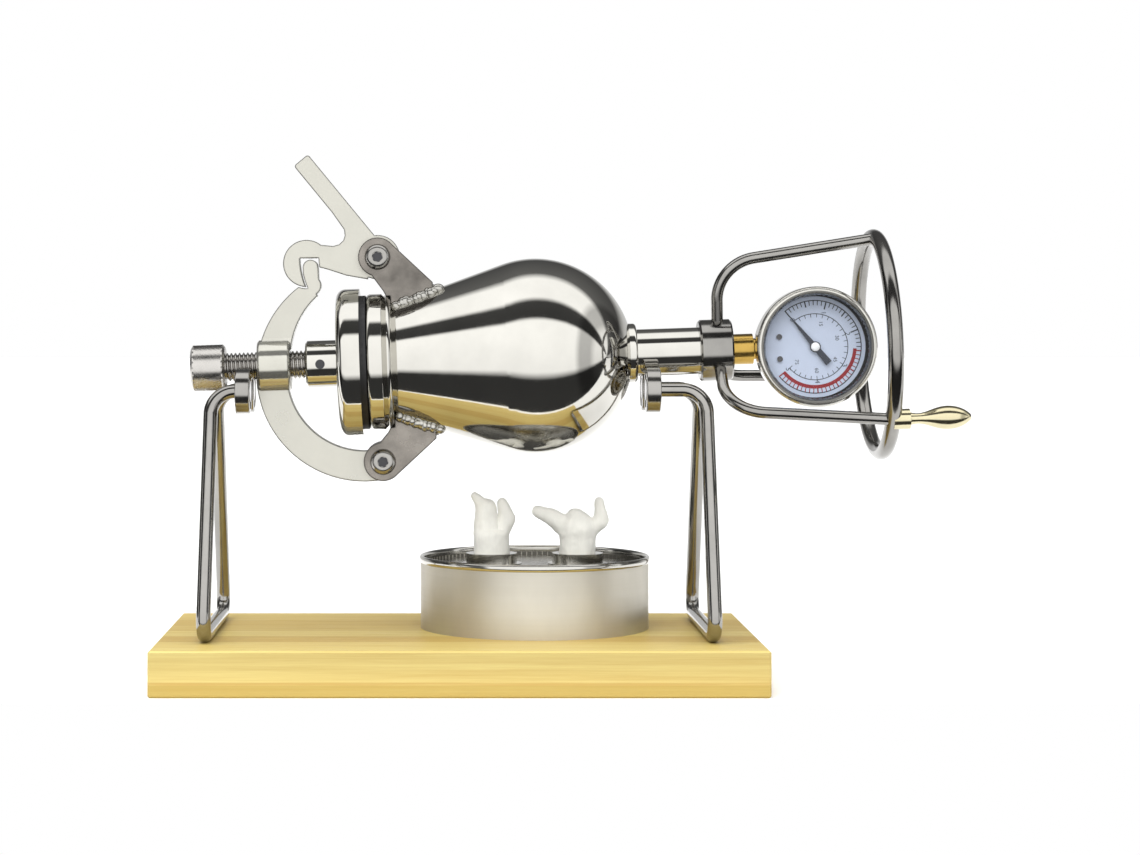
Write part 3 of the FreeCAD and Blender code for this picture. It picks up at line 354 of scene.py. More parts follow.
def bamboo(look):
    """Fibrous strips laid along the board in lamellae, each with its own tone."""
    strip_width = 19.2 * MM
    lamella = 6.4 * MM
    foot_height = 5.2 * MM
    foot_cover = 0.62
    joint_width = 0.022
    joint_cover = 0.35
    joint_shade = 0.8
    finish = Finish("laminated bamboo", look.bamboo_light, roughness=0.45)
    where = finish.node("SeparateXYZ", Vector=finish.place()).outputs
    across = finish.math("MULTIPLY", where["Y"], 1 / strip_width)
    layer = finish.math("MULTIPLY", where["Z"], 1 / lamella)
    strip = finish.node("CombineXYZ", X=finish.math("FLOOR", across), Y=finish.math("FLOOR", layer))
    tones = finish.node("TexWhiteNoise", {"noise_dimensions": "3D"}, Vector=strip.outputs["Vector"])
    fibre = finish.noise(scale=3.0, stretch=(3.5, 190, 190), detail=6.0, roughness=0.7)
    pores = finish.noise(scale=3.0, stretch=(16, 700, 700), detail=3.0)
    tone = finish.weigh(fibre, 0.75, tones.outputs["Value"], 0.28)
    dark = finish.spread(tone, 1.0, 0.0, start=0.36, end=0.76)
    grain = finish.mix(dark, look.bamboo_light, look.bamboo_dark)
    joint = finish.math("LESS_THAN", finish.math("FRACT", across), joint_width)
    marks = finish.math("MULTIPLY", joint, joint_cover)
    board = finish.mix(marks, grain, shade(look.bamboo_dark, joint_shade))
    foot = finish.math("MULTIPLY", finish.math("LESS_THAN", where["Z"], foot_height), foot_cover)
    finish.link(finish.mix(foot, board, look.bamboo_base), "Base Color")
    finish.link(finish.spread(pores, 0.36, 0.55), "Roughness")
    finish.bump(finish.math("SUBTRACT", pores, marks), strength=0.25, distance=0.15 * MM)
    return finish.material


def rubber():
    """Matt black rubber with a fine grain."""
    finish = Finish("black rubber", (0.012, 0.012, 0.013))
    grain = finish.noise(scale=900.0)
    finish.link(finish.spread(grain, 0.42, 0.65), "Roughness")
    finish.bump(grain, strength=0.3, distance=0.1 * MM)
    return finish.material


def cotton(tint):
    """Loose cotton whose fibres run up the wick."""
    finish = Finish("wick cotton", tint, roughness=0.95)
    finish.set("Sheen Weight", 0.35)
    finish.set("Subsurface Weight", 0.15)
    finish.set("Subsurface Radius", (1.0 * MM, 1.0 * MM, 1.0 * MM))
    fibres = finish.noise(scale=420.0, stretch=(1, 1, 0.25), detail=8.0, roughness=0.7)
    finish.link(finish.mottle(fibres, tint, darkest=0.9), "Base Color")
    finish.bump(fibres, strength=0.45, distance=0.4 * MM)
    return finish.material


def paint(name, tint, roughness):
    """Flat paint with a faint mottle."""
    finish = Finish(name, tint, roughness=roughness)
    finish.set("Specular IOR Level", 0.12)
    cloud = finish.noise(scale=240.0)
    finish.link(finish.mottle(cloud, tint, darkest=0.95), "Base Color")
    finish.link(finish.spread(cloud, roughness * 0.85, roughness * 1.15), "Roughness")
    return finish.material


def gauge_chrome(tint):
    """Rolled ring, bright outside, with a painted dark reflection on the lip that holds the lens."""
    ring_width = 1.7 * MM
    painted_lip_reflection = 0.28
    finish = Finish("gauge chrome", tint, metallic=1.0)
    low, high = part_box("gauge_bezel")
    # Painted reflection: the lip inside the outer ring is darkened in the base colour, for the dark room it would
    # reflect
    lip = finish.within(middle((low, high)), "XZ", (high.z - low.z) / 2 - ring_width)
    finish.link(finish.mix(lip, tint, shade(tint, painted_lip_reflection)), "Base Color")
    smudge = finish.noise(scale=45.0, detail=6.0)
    finish.link(finish.spread(smudge, 0.04, 0.1), "Roughness")
    finish.bump(smudge, strength=0.02, distance=0.3 * MM, rounding=1.3 * MM)
    return finish.material


def lens_glass():
    """Thin clear glass with a weak gloss."""
    finish = Finish("clear lens", (0.97, 0.985, 1.0), roughness=0.02)
    finish.set("Alpha", 0.02)
    finish.set("Specular IOR Level", 0.12)
    return finish.material


def make_finishes(look):
    """One finish for each material slot of the record, and others for single solids and details."""
    bush = ((-86 * MM, 122 * MM), (-71.5 * MM, 144 * MM))
    dulled = shade(look.steel, 0.95)
    return {
        "bamboo": bamboo(look),
        "polished_rod": metal("polished rod", look.rod, (0.07, 0.17), darkest=0.8),
        "bearing_steel": metal("bearing steel", look.rod, (0.12, 0.22)),
        "screw_steel": metal("screw steel", look.rod, (0.14, 0.28)),
        "mirror_steel": metal("mirror steel", look.steel, (0.035, 0.1), waviness=0.3),
        "satin_steel": satin_metal("satin cast steel", look.satin, (0.26, 0.36), darkest=0.88, turned=bush),
        "lug_steel": satin_metal("cast lug", look.lug, (0.16, 0.3), darkest=0.3),
        "knurled_steel": metal("knurled steel", look.tool, (0.22, 0.36)),
        "thread_steel": metal("thread steel", shade(look.tool, 0.85), (0.18, 0.32), darkest=0.7),
        "gasket_rubber": rubber(),
        "brass": metal("turned brass", look.brass, (0.14, 0.28), darkest=0.82),
        "grip_brass": metal("polished brass", look.gold, (0.1, 0.2), darkest=0.85),
        "gauge_chrome": gauge_chrome(dulled),
        "bead_steel": metal("rolled bead", dulled, (0.07, 0.16), waviness=0.4),
        "crank_steel": metal("crank steel", shade(look.rod, 0.92), (0.08, 0.2), darkest=0.72),
        # Painted shade: the burner's top is a tenth darker than the mirror steel, for the shade inside the can
        "can_top_painted_shade": metal("can top", shade(look.steel, 0.9), (0.16, 0.32), waviness=0.6),
        "lens_glass": lens_glass(),
        "dial_face": paint("dial paint", look.dial, 0.5),
        "needle_black": paint("needle paint", look.ink, 0.4),
        "tin": tinplate(look.tin),
        "collar_steel": metal("collar steel", look.steel, (0.08, 0.18), waviness=0.2),
        "wick_cotton": cotton(look.cotton),
        "weld": metal("weld bead", dulled, (0.16, 0.36), grain=900.0, waviness=0.6, darkest=0.6),
        "warning": paint("warning ink", look.warning, 0.45),
        "cap_white": paint("cap paint", (0.86, 0.88, 0.9), 0.35),
        # Painted shade: near-black steel for the dark discs in the pivot screws' sockets and for the small screws,
        # whose sockets it darkens
        "painted_socket_shade": metal("socket", (0.08, 0.08, 0.085), (0.3, 0.5)),
    }


# Finishes by name, made by the operator that finishes the solids
FINISHES = {}


# Meshes

def add_piece(name, mesh, body, slot, finish=None, smooth=40.0):
    """Turn a bmesh into a piece that rides on a body, smooth up to an angle in degrees."""
    data = bpy.data.meshes.new(name)
    mesh.to_mesh(data)
    mesh.free()
    piece = bpy.data.objects.new(name, data)
    bpy.context.scene.collection.objects.link(piece)
    data.materials.append(FINISHES[finish or slot])
    data.shade_smooth()
    data.set_sharp_from_angle(angle=math.radians(smooth))
    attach(piece, body)
    return piece


def tidy(mesh):
    """Close seams and poles, and point the faces outwards."""
    bmesh.ops.remove_doubles(mesh, verts=mesh.verts, dist=MERGE)
    bmesh.ops.recalc_face_normals(mesh, faces=mesh.faces)


def spin_profile(mesh, profile, centre, along, steps=ROUND, closed=True):
    """Turn (along, radius) points round an axis through a centre. An open profile starts and ends on it."""
    side = along.orthogonal().normalized()
    verts = [mesh.verts.new(centre + along * u + side * r) for u, r in profile]
    pairs = list(zip(verts, verts[1:]))
    if closed:
        pairs.append((verts[-1], verts[0]))
    edges = [mesh.edges.new(pair) for pair in pairs]
    bmesh.ops.spin(mesh, geom=verts + edges, cent=centre, axis=along, angle=math.tau, steps=steps,
                   use_merge=True)


def add_bar(mesh, centre, turned, depth, radius, segments=ROUND):
    """Straight bar round a centre, laid over about an axis; gives its corners."""
    place = Matrix.Translation(centre) @ Matrix.Rotation(math.pi / 2, 4, turned)
    return bmesh.ops.create_cone(mesh, cap_ends=True, segments=segments, radius1=radius, radius2=radius,
                                 depth=depth, matrix=place)["verts"]


# Pieces, each made by its own operator

class POPCORN_OT_finish_solids(bpy.types.Operator):
    """Give every solid its finish"""
    bl_idname = "popcorn.finish_solids"
    bl_label = "Finish the solids"

    # Solids whose look differs from the rest of their slot
    OWN = {
        "grip_brass": ("crank_grip", "grip_ferrule"),
        # Painted shade: these small screws are made near-black for the shade of their sockets
        "painted_socket_shade": ("dial_screws", "boss_set_screw"),
        "lug_steel": ("latch_lug", "hinge_lug"),
        "can_top_painted_shade": ("burner_top",),
        "crank_steel": ("crank_hub", "crank_spoke_1", "crank_spoke_2", "crank_spoke_3", "crank_ring"),
    }

    def execute(self, context):
        FINISHES.update(make_finishes(context.scene.popcorn_finishes))
        finishes = {part["node"]: part["material_slot"] for part in frame["record"]["subparts"]}
        for finish, nodes in self.OWN.items():
            finishes.update(dict.fromkeys(nodes, finish))
        for node, solid in frame["nodes"].items():
            solid.data.materials.clear()
            solid.data.materials.append(FINISHES[finishes[node]])
            solid.data.polygons.foreach_set("material_index", [0] * len(solid.data.polygons))
        return {"FINISHED"}


class POPCORN_OT_clamp_thread(bpy.types.Operator):
    """Cut the clamp screw's helical thread"""
    bl_idname = "popcorn.clamp_thread"
    bl_label = "Clamp screw"

    # Steps in a turn, shares of the pitch where the flanks and the crest end, and the core's sink
    STEPS = 36
    RISE_END = 0.36
    CREST_END = 0.56
    FALL_END = 0.92
    SINK = 0.02 * MM

    def execute(self, context):
        size = context.scene.popcorn_details
        low, high = axis_box("clamp_screw")
        start = axis_box("screw_knob")[1].x
        crest = high.z
        root = crest - size.thread_depth
        turns = int((high.x - start) / size.pitch) - 1
        mesh = bmesh.new()
        profile = [(0.0, root), (self.RISE_END, crest), (self.CREST_END, crest), (self.FALL_END, root),
                   (1.0, root)]
        verts = [mesh.verts.new((start + along * size.pitch, 0, radius)) for along, radius in profile]
        edges = [mesh.edges.new(pair) for pair in zip(verts, verts[1:])]
        bmesh.ops.spin(mesh, geom=verts + edges, cent=(0, 0, 0), axis=ALONG, angle=math.tau * turns,
                       dvec=(size.pitch / self.STEPS, 0, 0), steps=self.STEPS * turns)
        add_bar(mesh, ((low.x + high.x) / 2, 0, 0), "Y", high.x - low.x, root - self.SINK)
        tidy(mesh)
        bmesh.ops.holes_fill(mesh, edges=[edge for edge in mesh.edges if edge.is_boundary], sides=0)
        mesh.transform(SPIN)
        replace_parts(add_piece("clamp_thread", mesh, "screw", "thread_steel", smooth=35.0), "clamp_screw")
        return {"FINISHED"}


class POPCORN_OT_knurled_knob(bpy.types.Operator):
    """Turn and knurl the clamp screw's knob"""
    bl_idname = "popcorn.knurled_knob"
    bl_label = "Knurled knob"

    # Chamfer of the ends, chamfers from an end to the knurl, and depth of the ring turned into the front
    EDGE = 0.9 * MM
    PLAIN = 1.6
    DISH = 0.5 * MM

    # How far from the knurl's end rows a point still counts as on them
    SLACK = 0.1 * MM

    # Shares of the knob's radius: the dish's two flanks, from the middle out, and the back's flat
    DISH_INNER = (0.42, 0.46)
    DISH_OUTER = (0.8, 0.86)
    BACK_FLAT = 0.88

    def execute(self, context):
        size = context.scene.popcorn_details
        low, high = axis_box("screw_knob")
        radius = high.z
        rows = size.knurl_rows
        start = low.x + self.EDGE * self.PLAIN
        end = high.x - self.EDGE * self.PLAIN
        floor = low.x + self.DISH
        profile = [(low.x, 0.0), (low.x, radius * self.DISH_INNER[0]), (floor, radius * self.DISH_INNER[1]),
                   (floor, radius * self.DISH_OUTER[0]), (low.x, radius * self.DISH_OUTER[1]),
                   (low.x + self.EDGE, radius)]
        profile += [(start + (end - start) * i / rows, radius) for i in range(rows + 1)]
        profile += [(high.x - self.EDGE, radius), (high.x, radius * self.BACK_FLAT), (high.x, 0.0)]
        mesh = bmesh.new()
        spin_profile(mesh, profile, Vector(), ALONG, steps=size.knurl_teeth * 2, closed=False)
        tidy(mesh)
        for vert in mesh.verts:
            row = round((vert.co.x - start) / (end - start) * rows)
            if start - self.SLACK < vert.co.x < end + self.SLACK and 0 <= row <= rows:
                turn = math.atan2(vert.co.z, vert.co.y) / math.tau * size.knurl_teeth * 2
                if (round(turn) + row) % 2:
                    vert.co.y *= 1 - size.knurl_depth / radius
                    vert.co.z *= 1 - size.knurl_depth / radius
        mesh.transform(SPIN)
        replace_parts(add_piece("knurled_knob", mesh, "screw", "knurled_steel", smooth=22.0), "screw_knob")
        return {"FINISHED"}


class POPCORN_OT_pivot_screws(bpy.types.Operator):
    """Turn the two button-head screws with their sockets and nuts, and a dark disc of painted shade in each socket
    """
    bl_idname = "popcorn.pivot_screws"
    bl_label = "Pivot screws"

    # Radii
    HEAD = 5.5 * MM
    SHANK = 3.0 * MM
    SOCKET = 2.3 * MM
    NUT = 5.7 * MM

    # Depths below the head's top, the dark disc of painted shade in the socket among them, and the chamfers of the
    # head's foot and of the nut
    SOCKET_LIP = 0.2 * MM
    LINING = (1.35 * MM, 1.45 * MM)
    SOCKET_FLOOR = 1.5 * MM
    HEAD_EDGE = 0.3 * MM
    NUT_EDGE = 0.4 * MM

    # Angles up the dome in radians, from its top, how full it is, and shares of the radii at their feet
    DOME = (1.35, 1.1, 0.8, 0.5, 0.25)
    FULLNESS = 0.8
    SOCKET_FOOT = 0.94
    HEAD_FOOT = 0.97

    def screw(self, centre, top, front, back, end):
        """Head, shank and nut, by the places along the screw of its top, the lug's two faces and its end."""
        floor = top + self.SOCKET_FLOOR
        profile = [(floor, 0), (floor, self.SOCKET * self.SOCKET_FOOT), (top + self.SOCKET_LIP, self.SOCKET)]
        for turn in self.DOME:
            radius = self.SOCKET + (self.HEAD - self.SOCKET) * math.cos(turn) ** self.FULLNESS
            profile.append((front - (front - top) * math.sin(turn), radius))
        profile += [(front - self.HEAD_EDGE, self.HEAD), (front, self.HEAD * self.HEAD_FOOT),
                    (front, self.SHANK), (end, self.SHANK), (end, 0)]
        mesh = bmesh.new()
        spin_profile(mesh, profile, centre, BACK, closed=False)
        tidy(mesh)
        nut = add_bar(mesh, centre + BACK * ((back + end) / 2), "X", end - back, self.NUT, segments=6)
        rims = dict.fromkeys(edge for vert in nut for edge in vert.link_edges)
        bmesh.ops.bevel(mesh, geom=list(rims), offset=self.NUT_EDGE, affect="EDGES", segments=2,
                        profile=0.5, material=-1)
        return mesh

    def lining(self, centre, top):
        """Dark six-sided disc in the socket, a little above its floor: painted shade of the hole."""
        upper, lower = (top + depth for depth in self.LINING)
        profile = [(lower, 0), (lower, self.SOCKET), (upper, self.SOCKET), (upper, 0)]
        mesh = bmesh.new()
        spin_profile(mesh, profile, centre, BACK, steps=6, closed=False)
        tidy(mesh)
        return mesh

    def execute(self, context):
        for node, lug in (("latch_pin", "latch_lug"), ("hinge_pin", "hinge_lug")):
            low, high = axis_box(node)
            front, back = (corner.y for corner in axis_box(lug))
            centre = middle((low, high))
            centre.y = 0
            mesh = self.screw(centre, low.y, front, back, high.y)
            mesh.transform(SPIN)
            screw = add_piece(node.replace("_pin", "_screw"), mesh, "vessel", "screw_steel", smooth=35.0)
            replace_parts(screw, node)
            # Painted shade: a dark disc stands in for the shade of the socket
            mesh = self.lining(centre, low.y)
            mesh.transform(SPIN)
            add_piece(node.replace("_pin", "_socket"), mesh, "vessel", "screw_steel", "painted_socket_shade")
        return {"FINISHED"}


class POPCORN_OT_weld_beads(bpy.types.Operator):
    """Lay rough weld beads along the feet of the two lugs"""
    bl_idname = "popcorn.weld_beads"
    bl_label = "Weld beads"

    SEED = 7

    # The shell's cone: its radius at the mouth, and shares of the belly's radius where it meets the belly
    MOUTH = 24.0 * MM
    CONE_RADIUS = 0.95
    CONE_SETBACK = 0.31

    # Ranges of chance: a drop's place across the lug, in half widths, and its lift, size and step, in beads
    ACROSS = (0.98, 1.1)
    LIFT = (0.0, 0.35)
    SIZE = (0.75, 1.25)
    STEP = (0.45, 0.85)

    # Drops across the end of a lug, in half widths
    END_DROPS = (-0.55, 0.0, 0.55)

    def drop(self, mesh, place, radii):
        matrix = Matrix.Translation(place) @ Matrix.Diagonal((*radii, 1))
        bmesh.ops.create_icosphere(mesh, subdivisions=3, radius=1.0, matrix=matrix)

    def execute(self, context):
        bead = context.scene.popcorn_details.bead
        chance = random.Random(self.SEED)
        shell_end = axis_box("vessel_shell")[1]
        belly = shell_end.z
        mouth = axis_box("mouth_flange")[1].x
        cone_end = shell_end.x - belly - belly * self.CONE_SETBACK
        rise = (belly * self.CONE_RADIUS - self.MOUTH) / (cone_end - mouth)
        for lug, side in (("latch_lug", 1), ("hinge_lug", -1)):
            low, high = axis_box(lug)
            mesh = bmesh.new()
            for edge in (low.y, high.y):
                along = mouth + bead
                while along < high.x + bead:
                    radius = self.MOUTH + (along - mouth) * rise
                    y = edge * chance.uniform(*self.ACROSS)
                    z = side * (math.sqrt(radius ** 2 - y ** 2) + bead * chance.uniform(*self.LIFT))
                    self.drop(mesh, (along, y, z), [bead * chance.uniform(*self.SIZE) for _ in range(3)])
                    along += bead * chance.uniform(*self.STEP)
            end_radius = self.MOUTH + (high.x - mouth) * rise
            for across in self.END_DROPS:
                self.drop(mesh, (high.x, across * high.y, side * end_radius), [bead] * 3)
            mesh.transform(SPIN)
            add_piece(lug.replace("_lug", "_weld"), mesh, "vessel", "satin_steel", "weld", smooth=80.0)
        return {"FINISHED"}


class POPCORN_OT_roller_shields(bpy.types.Operator):
    """Close the sides of the ball-bearing rollers"""
    bl_idname = "popcorn.roller_shields"
    bl_label = "Roller shields"

    # Width of the outer ring, radius of the shield's hole, and depths of its rim and of its dish
    RING = 2.02 * MM
    HOLE = 4.55 * MM
    SETBACK = 0.25 * MM
    DISH = 0.25 * MM

    # Shares of the shield's radius where its dish begins and ends
    DISH_START = 0.9
    DISH_END = 0.84

    def execute(self, context):
        size = context.scene.popcorn_details
        for node in (f"roller_{side}_{row}" for side in ("left", "right") for row in ("front", "rear")):
            low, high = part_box(node)
            centre = middle((low, high))
            outer = (high.z - low.z) / 2 - self.RING
            mesh = bmesh.new()
            for face, out in ((low.x, -1), (high.x, 1)):
                near = face - centre.x - out * self.SETBACK
                far = near - out * size.shield
                dish = near - out * self.DISH
                profile = [(near, outer), (near, outer * self.DISH_START), (dish, outer * self.DISH_END),
                           (dish, self.HOLE), (far, self.HOLE), (far, outer)]
                spin_profile(mesh, profile, centre, ALONG, steps=40)
            tidy(mesh)
            add_piece(node + "_shields", mesh, node, "bearing_steel")
        return {"FINISHED"}


class Dial:
    """The gauge's face. A place on it is a share of the scale's sweep and a share of the face's radius."""

    # Angle of the scale's start, from the side away from the stem, and how far the scale turns
    ZERO = math.radians(128)
    SWEEP = math.radians(270)

    def __init__(self, height):
        low, high = axis_box("gauge_dial")
        self.height = height
        self.radius = (high.z - low.z) / 2
        self.centre = Vector(((low.x + high.x) / 2, low.y - height / 2, (low.z + high.z) / 2))

    def turn(self, along):
        return self.ZERO - self.SWEEP * along

    def out(self, along):
        """Direction from the centre to a place along the scale."""
        turn = self.turn(along)
        return Vector((math.cos(turn), 0, math.sin(turn)))

    def arc(self, mesh, inner, outer, steps, start=0.0, lift=0.0):
        """Thin band from a place along the scale to its end."""
        earlier = set(mesh.faces)
        centre = self.centre + Vector((0, -lift, 0))
        out = self.out(start)
        verts = [mesh.verts.new(centre + out * (self.radius * reach)) for reach in (inner, outer)]
        edge = mesh.edges.new(verts)
        bmesh.ops.spin(mesh, geom=verts + [edge], cent=centre, axis=BACK, steps=steps,
                       angle=self.SWEEP * (1.0 - start))
        band = [face for face in mesh.faces if face not in earlier]
        bmesh.ops.solidify(mesh, geom=band, thickness=self.height / 2)

    def tick(self, mesh, along, inner, outer, width):
        start, end = self.radius * inner, self.radius * outer
        turn = Matrix.Rotation(-self.turn(along), 4, "Y")
        place = Matrix.Translation(self.centre) @ turn @ Matrix.Translation(((start + end) / 2, 0, 0))
        size = Matrix.Diagonal((end - start, self.height, width, 1))
        bmesh.ops.create_cube(mesh, size=1.0, matrix=place @ size)

    def figure(self, mesh, along, reach, number, height):
        """A number, upright when the gauge stands on its stem."""
        text = bpy.data.curves.new("figure", "FONT")
        text.body = str(number)
        text.size = height
        text.align_x = "CENTER"
        text.align_y = "CENTER"
        text.extrude = self.height / 2
        holder = bpy.data.objects.new("figure", text)
        shape = bpy.data.meshes.new_from_object(holder)
        stand = Matrix.Rotation(math.pi / 2, 4, "Y") @ Matrix.Rotation(math.pi / 2, 4, "X")
        place = Matrix.Translation(self.centre + self.out(along) * (self.radius * reach))
        shape.transform(place @ stand)
        mesh.from_mesh(shape)
        bpy.data.objects.remove(holder)
        bpy.data.curves.remove(text)
        bpy.data.meshes.remove(shape)


class POPCORN_OT_dial_print(bpy.types.Operator):
    """Print the gauge's generic scale, figures and warning arc"""
    bl_idname = "popcorn.dial_print"
    bl_label = "Dial print"

    # Where along the scale the warning starts, steps of the figures, and the inner figures' step
    WARN = 0.49
    STEPS = 5
    INNER_STEP = 15

    # Shares of the face's radius: where ticks start and end, where figures stand, and the bands' edges
    TENTH = 0.76
    FIFTH = 0.795
    SINGLE = 0.82
    TICK_END = 0.92
    INNER_TICK = (0.58, 0.65)
    FIGURES = 0.69
    INNER_FIGURES = 0.47
    RING = (0.905, 0.925)
    INNER_RING = (0.645, 0.66)
    WARNING = (0.755, 0.825)

    # Widths of the ticks, and the inner figures' share of the figures' height
    WIDE = 0.55 * MM
    NARROW = 0.36 * MM
    FINE = 0.26 * MM
    SMALL = 0.75

    def execute(self, context):
        size = context.scene.popcorn_details
        dial = Dial(size.print_height)
        black = bmesh.new()
        red = bmesh.new()
        for i in range(size.ticks + 1):
            along = i / size.ticks
            start = self.TENTH if i % 10 == 0 else self.FIFTH if i % 5 == 0 else self.SINGLE
            width = self.WIDE if i % 5 == 0 else self.NARROW
            dial.tick(red if along > self.WARN else black, along, start, self.TICK_END, width)
            if i % 2 == 0:
                dial.tick(black, along, *self.INNER_TICK, self.FINE)
        for i in range(self.STEPS + 1):
            along = i / self.STEPS
            dial.figure(black, along, self.FIGURES, i, size.figure)
            dial.figure(black, along, self.INNER_FIGURES, i * self.INNER_STEP, size.figure * self.SMALL)
        dial.arc(black, *self.RING, steps=90)
        dial.arc(black, *self.INNER_RING, steps=90)
        dial.arc(red, *self.WARNING, steps=60, start=self.WARN, lift=size.print_height / 2)
        prints = {"dial_scale": (black, "needle_black"), "dial_warning_arc": (red, "warning")}
        for name, (mesh, finish) in prints.items():
            mesh.transform(SPIN)
            add_piece(name, mesh, "vessel", "needle_black", finish, smooth=30.0)
        return {"FINISHED"}


class POPCORN_OT_needle_cap(bpy.types.Operator):
    """Cap the needle's hub"""
    bl_idname = "popcorn.needle_cap"
    bl_label = "Needle cap"

    # Height and radius along the cap's outline, from the edge of its foot over the dome to the foot's middle
    OUTLINE = ((0, 1.9 * MM), (0.45 * MM, 1.8 * MM), (0.75 * MM, 1.3 * MM), (0.85 * MM, 0.6 * MM),
               (0.87 * MM, 0), (0, 0))

    def execute(self, context):
        centre = middle(axis_box("gauge_dial"))
        centre.y = axis_box("gauge_needle")[0].y
        mesh = bmesh.new()
        spin_profile(mesh, [(-height, radius) for height, radius in self.OUTLINE], centre, BACK, steps=32)
        tidy(mesh)
        mesh.transform(SPIN)
        add_piece("needle_cap", mesh, "needle", "dial_face", "cap_white")
        return {"FINISHED"}


class POPCORN_OT_can_bead(bpy.types.Operator):
    """Roll a bead round the top of the burner's can"""
    bl_idname = "popcorn.can_bead"
    bl_label = "Can bead"

    # How far the bead stands above the can, points of its section and steps round the can
    PROUD = 0.2 * MM
    POINTS = 20
    STEPS = 144

    def execute(self, context):
        rim = context.scene.popcorn_details.rim
        low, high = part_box("burner_can")
        half_height = rim / 2
        half_width = rim / 3
        inset = rim / 4
        radius = (high.x - low.x) / 2 - inset
        centre = Vector(((low.x + high.x) / 2, (low.y + high.y) / 2, high.z + self.PROUD - half_height))
        turns = [math.tau * step / self.POINTS for step in range(self.POINTS)]
        profile = [(half_height * math.sin(turn), radius + half_width * math.cos(turn)) for turn in turns]
        mesh = bmesh.new()
        spin_profile(mesh, profile, centre, UP, steps=self.STEPS)
        tidy(mesh)
        add_piece("can_bead", mesh, "burner", "tin", "bead_steel", smooth=80.0)
        return {"FINISHED"}


class POPCORN_OT_cotton_wicks(bpy.types.Operator):
    """Fray the burner's two cotton wicks"""
    bl_idname = "popcorn.cotton_wicks"
    bl_label = "Cotton wicks"

    # Width of the cotton's locks, spacing of its skin, rounds of softening and the fray's still level
    LOCK = 5.0 * MM
    SKIN = 0.55 * MM
    SOFTENING = 24
    STILL = 0.55

    # Room left under the swollen cotton, in frays
    ROOM = 4

    def execute(self, context):
        size = context.scene.popcorn_details
        clouds = bpy.data.textures.new("fray", "CLOUDS")
        clouds.noise_scale = self.LOCK
        clouds.noise_depth = 3
        for node in ("wick_left", "wick_right"):
            mesh = bmesh.new()
            mesh.from_mesh(frame["nodes"][node].data)
            bmesh.ops.remove_doubles(mesh, verts=mesh.verts, dist=MERGE / 2)
            # The hidden foot is raised, so that the swollen cotton stays above the can's floor
            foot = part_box(node)[0].z + size.swell + size.fray * self.ROOM
            for vertex in mesh.verts:
                vertex.co.z = max(vertex.co.z, foot)
            tuft = add_piece(node + "_tuft", mesh, "burner", "wick_cotton", smooth=180.0)
            remesh = tuft.modifiers.new("even skin", "REMESH")
            remesh.voxel_size = self.SKIN
            remesh.use_smooth_shade = True
            soften = tuft.modifiers.new("soften", "SMOOTH")
            soften.iterations = self.SOFTENING
            swell = tuft.modifiers.new("swell", "DISPLACE")
            swell.strength = size.swell
            swell.mid_level = 0.0
            fray = tuft.modifiers.new("fray", "DISPLACE")
            fray.texture = clouds
            fray.texture_coords = "LOCAL"
            fray.strength = size.fray * 2
            fray.mid_level = self.STILL
            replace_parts(tuft, node)
        return {"FINISHED"}


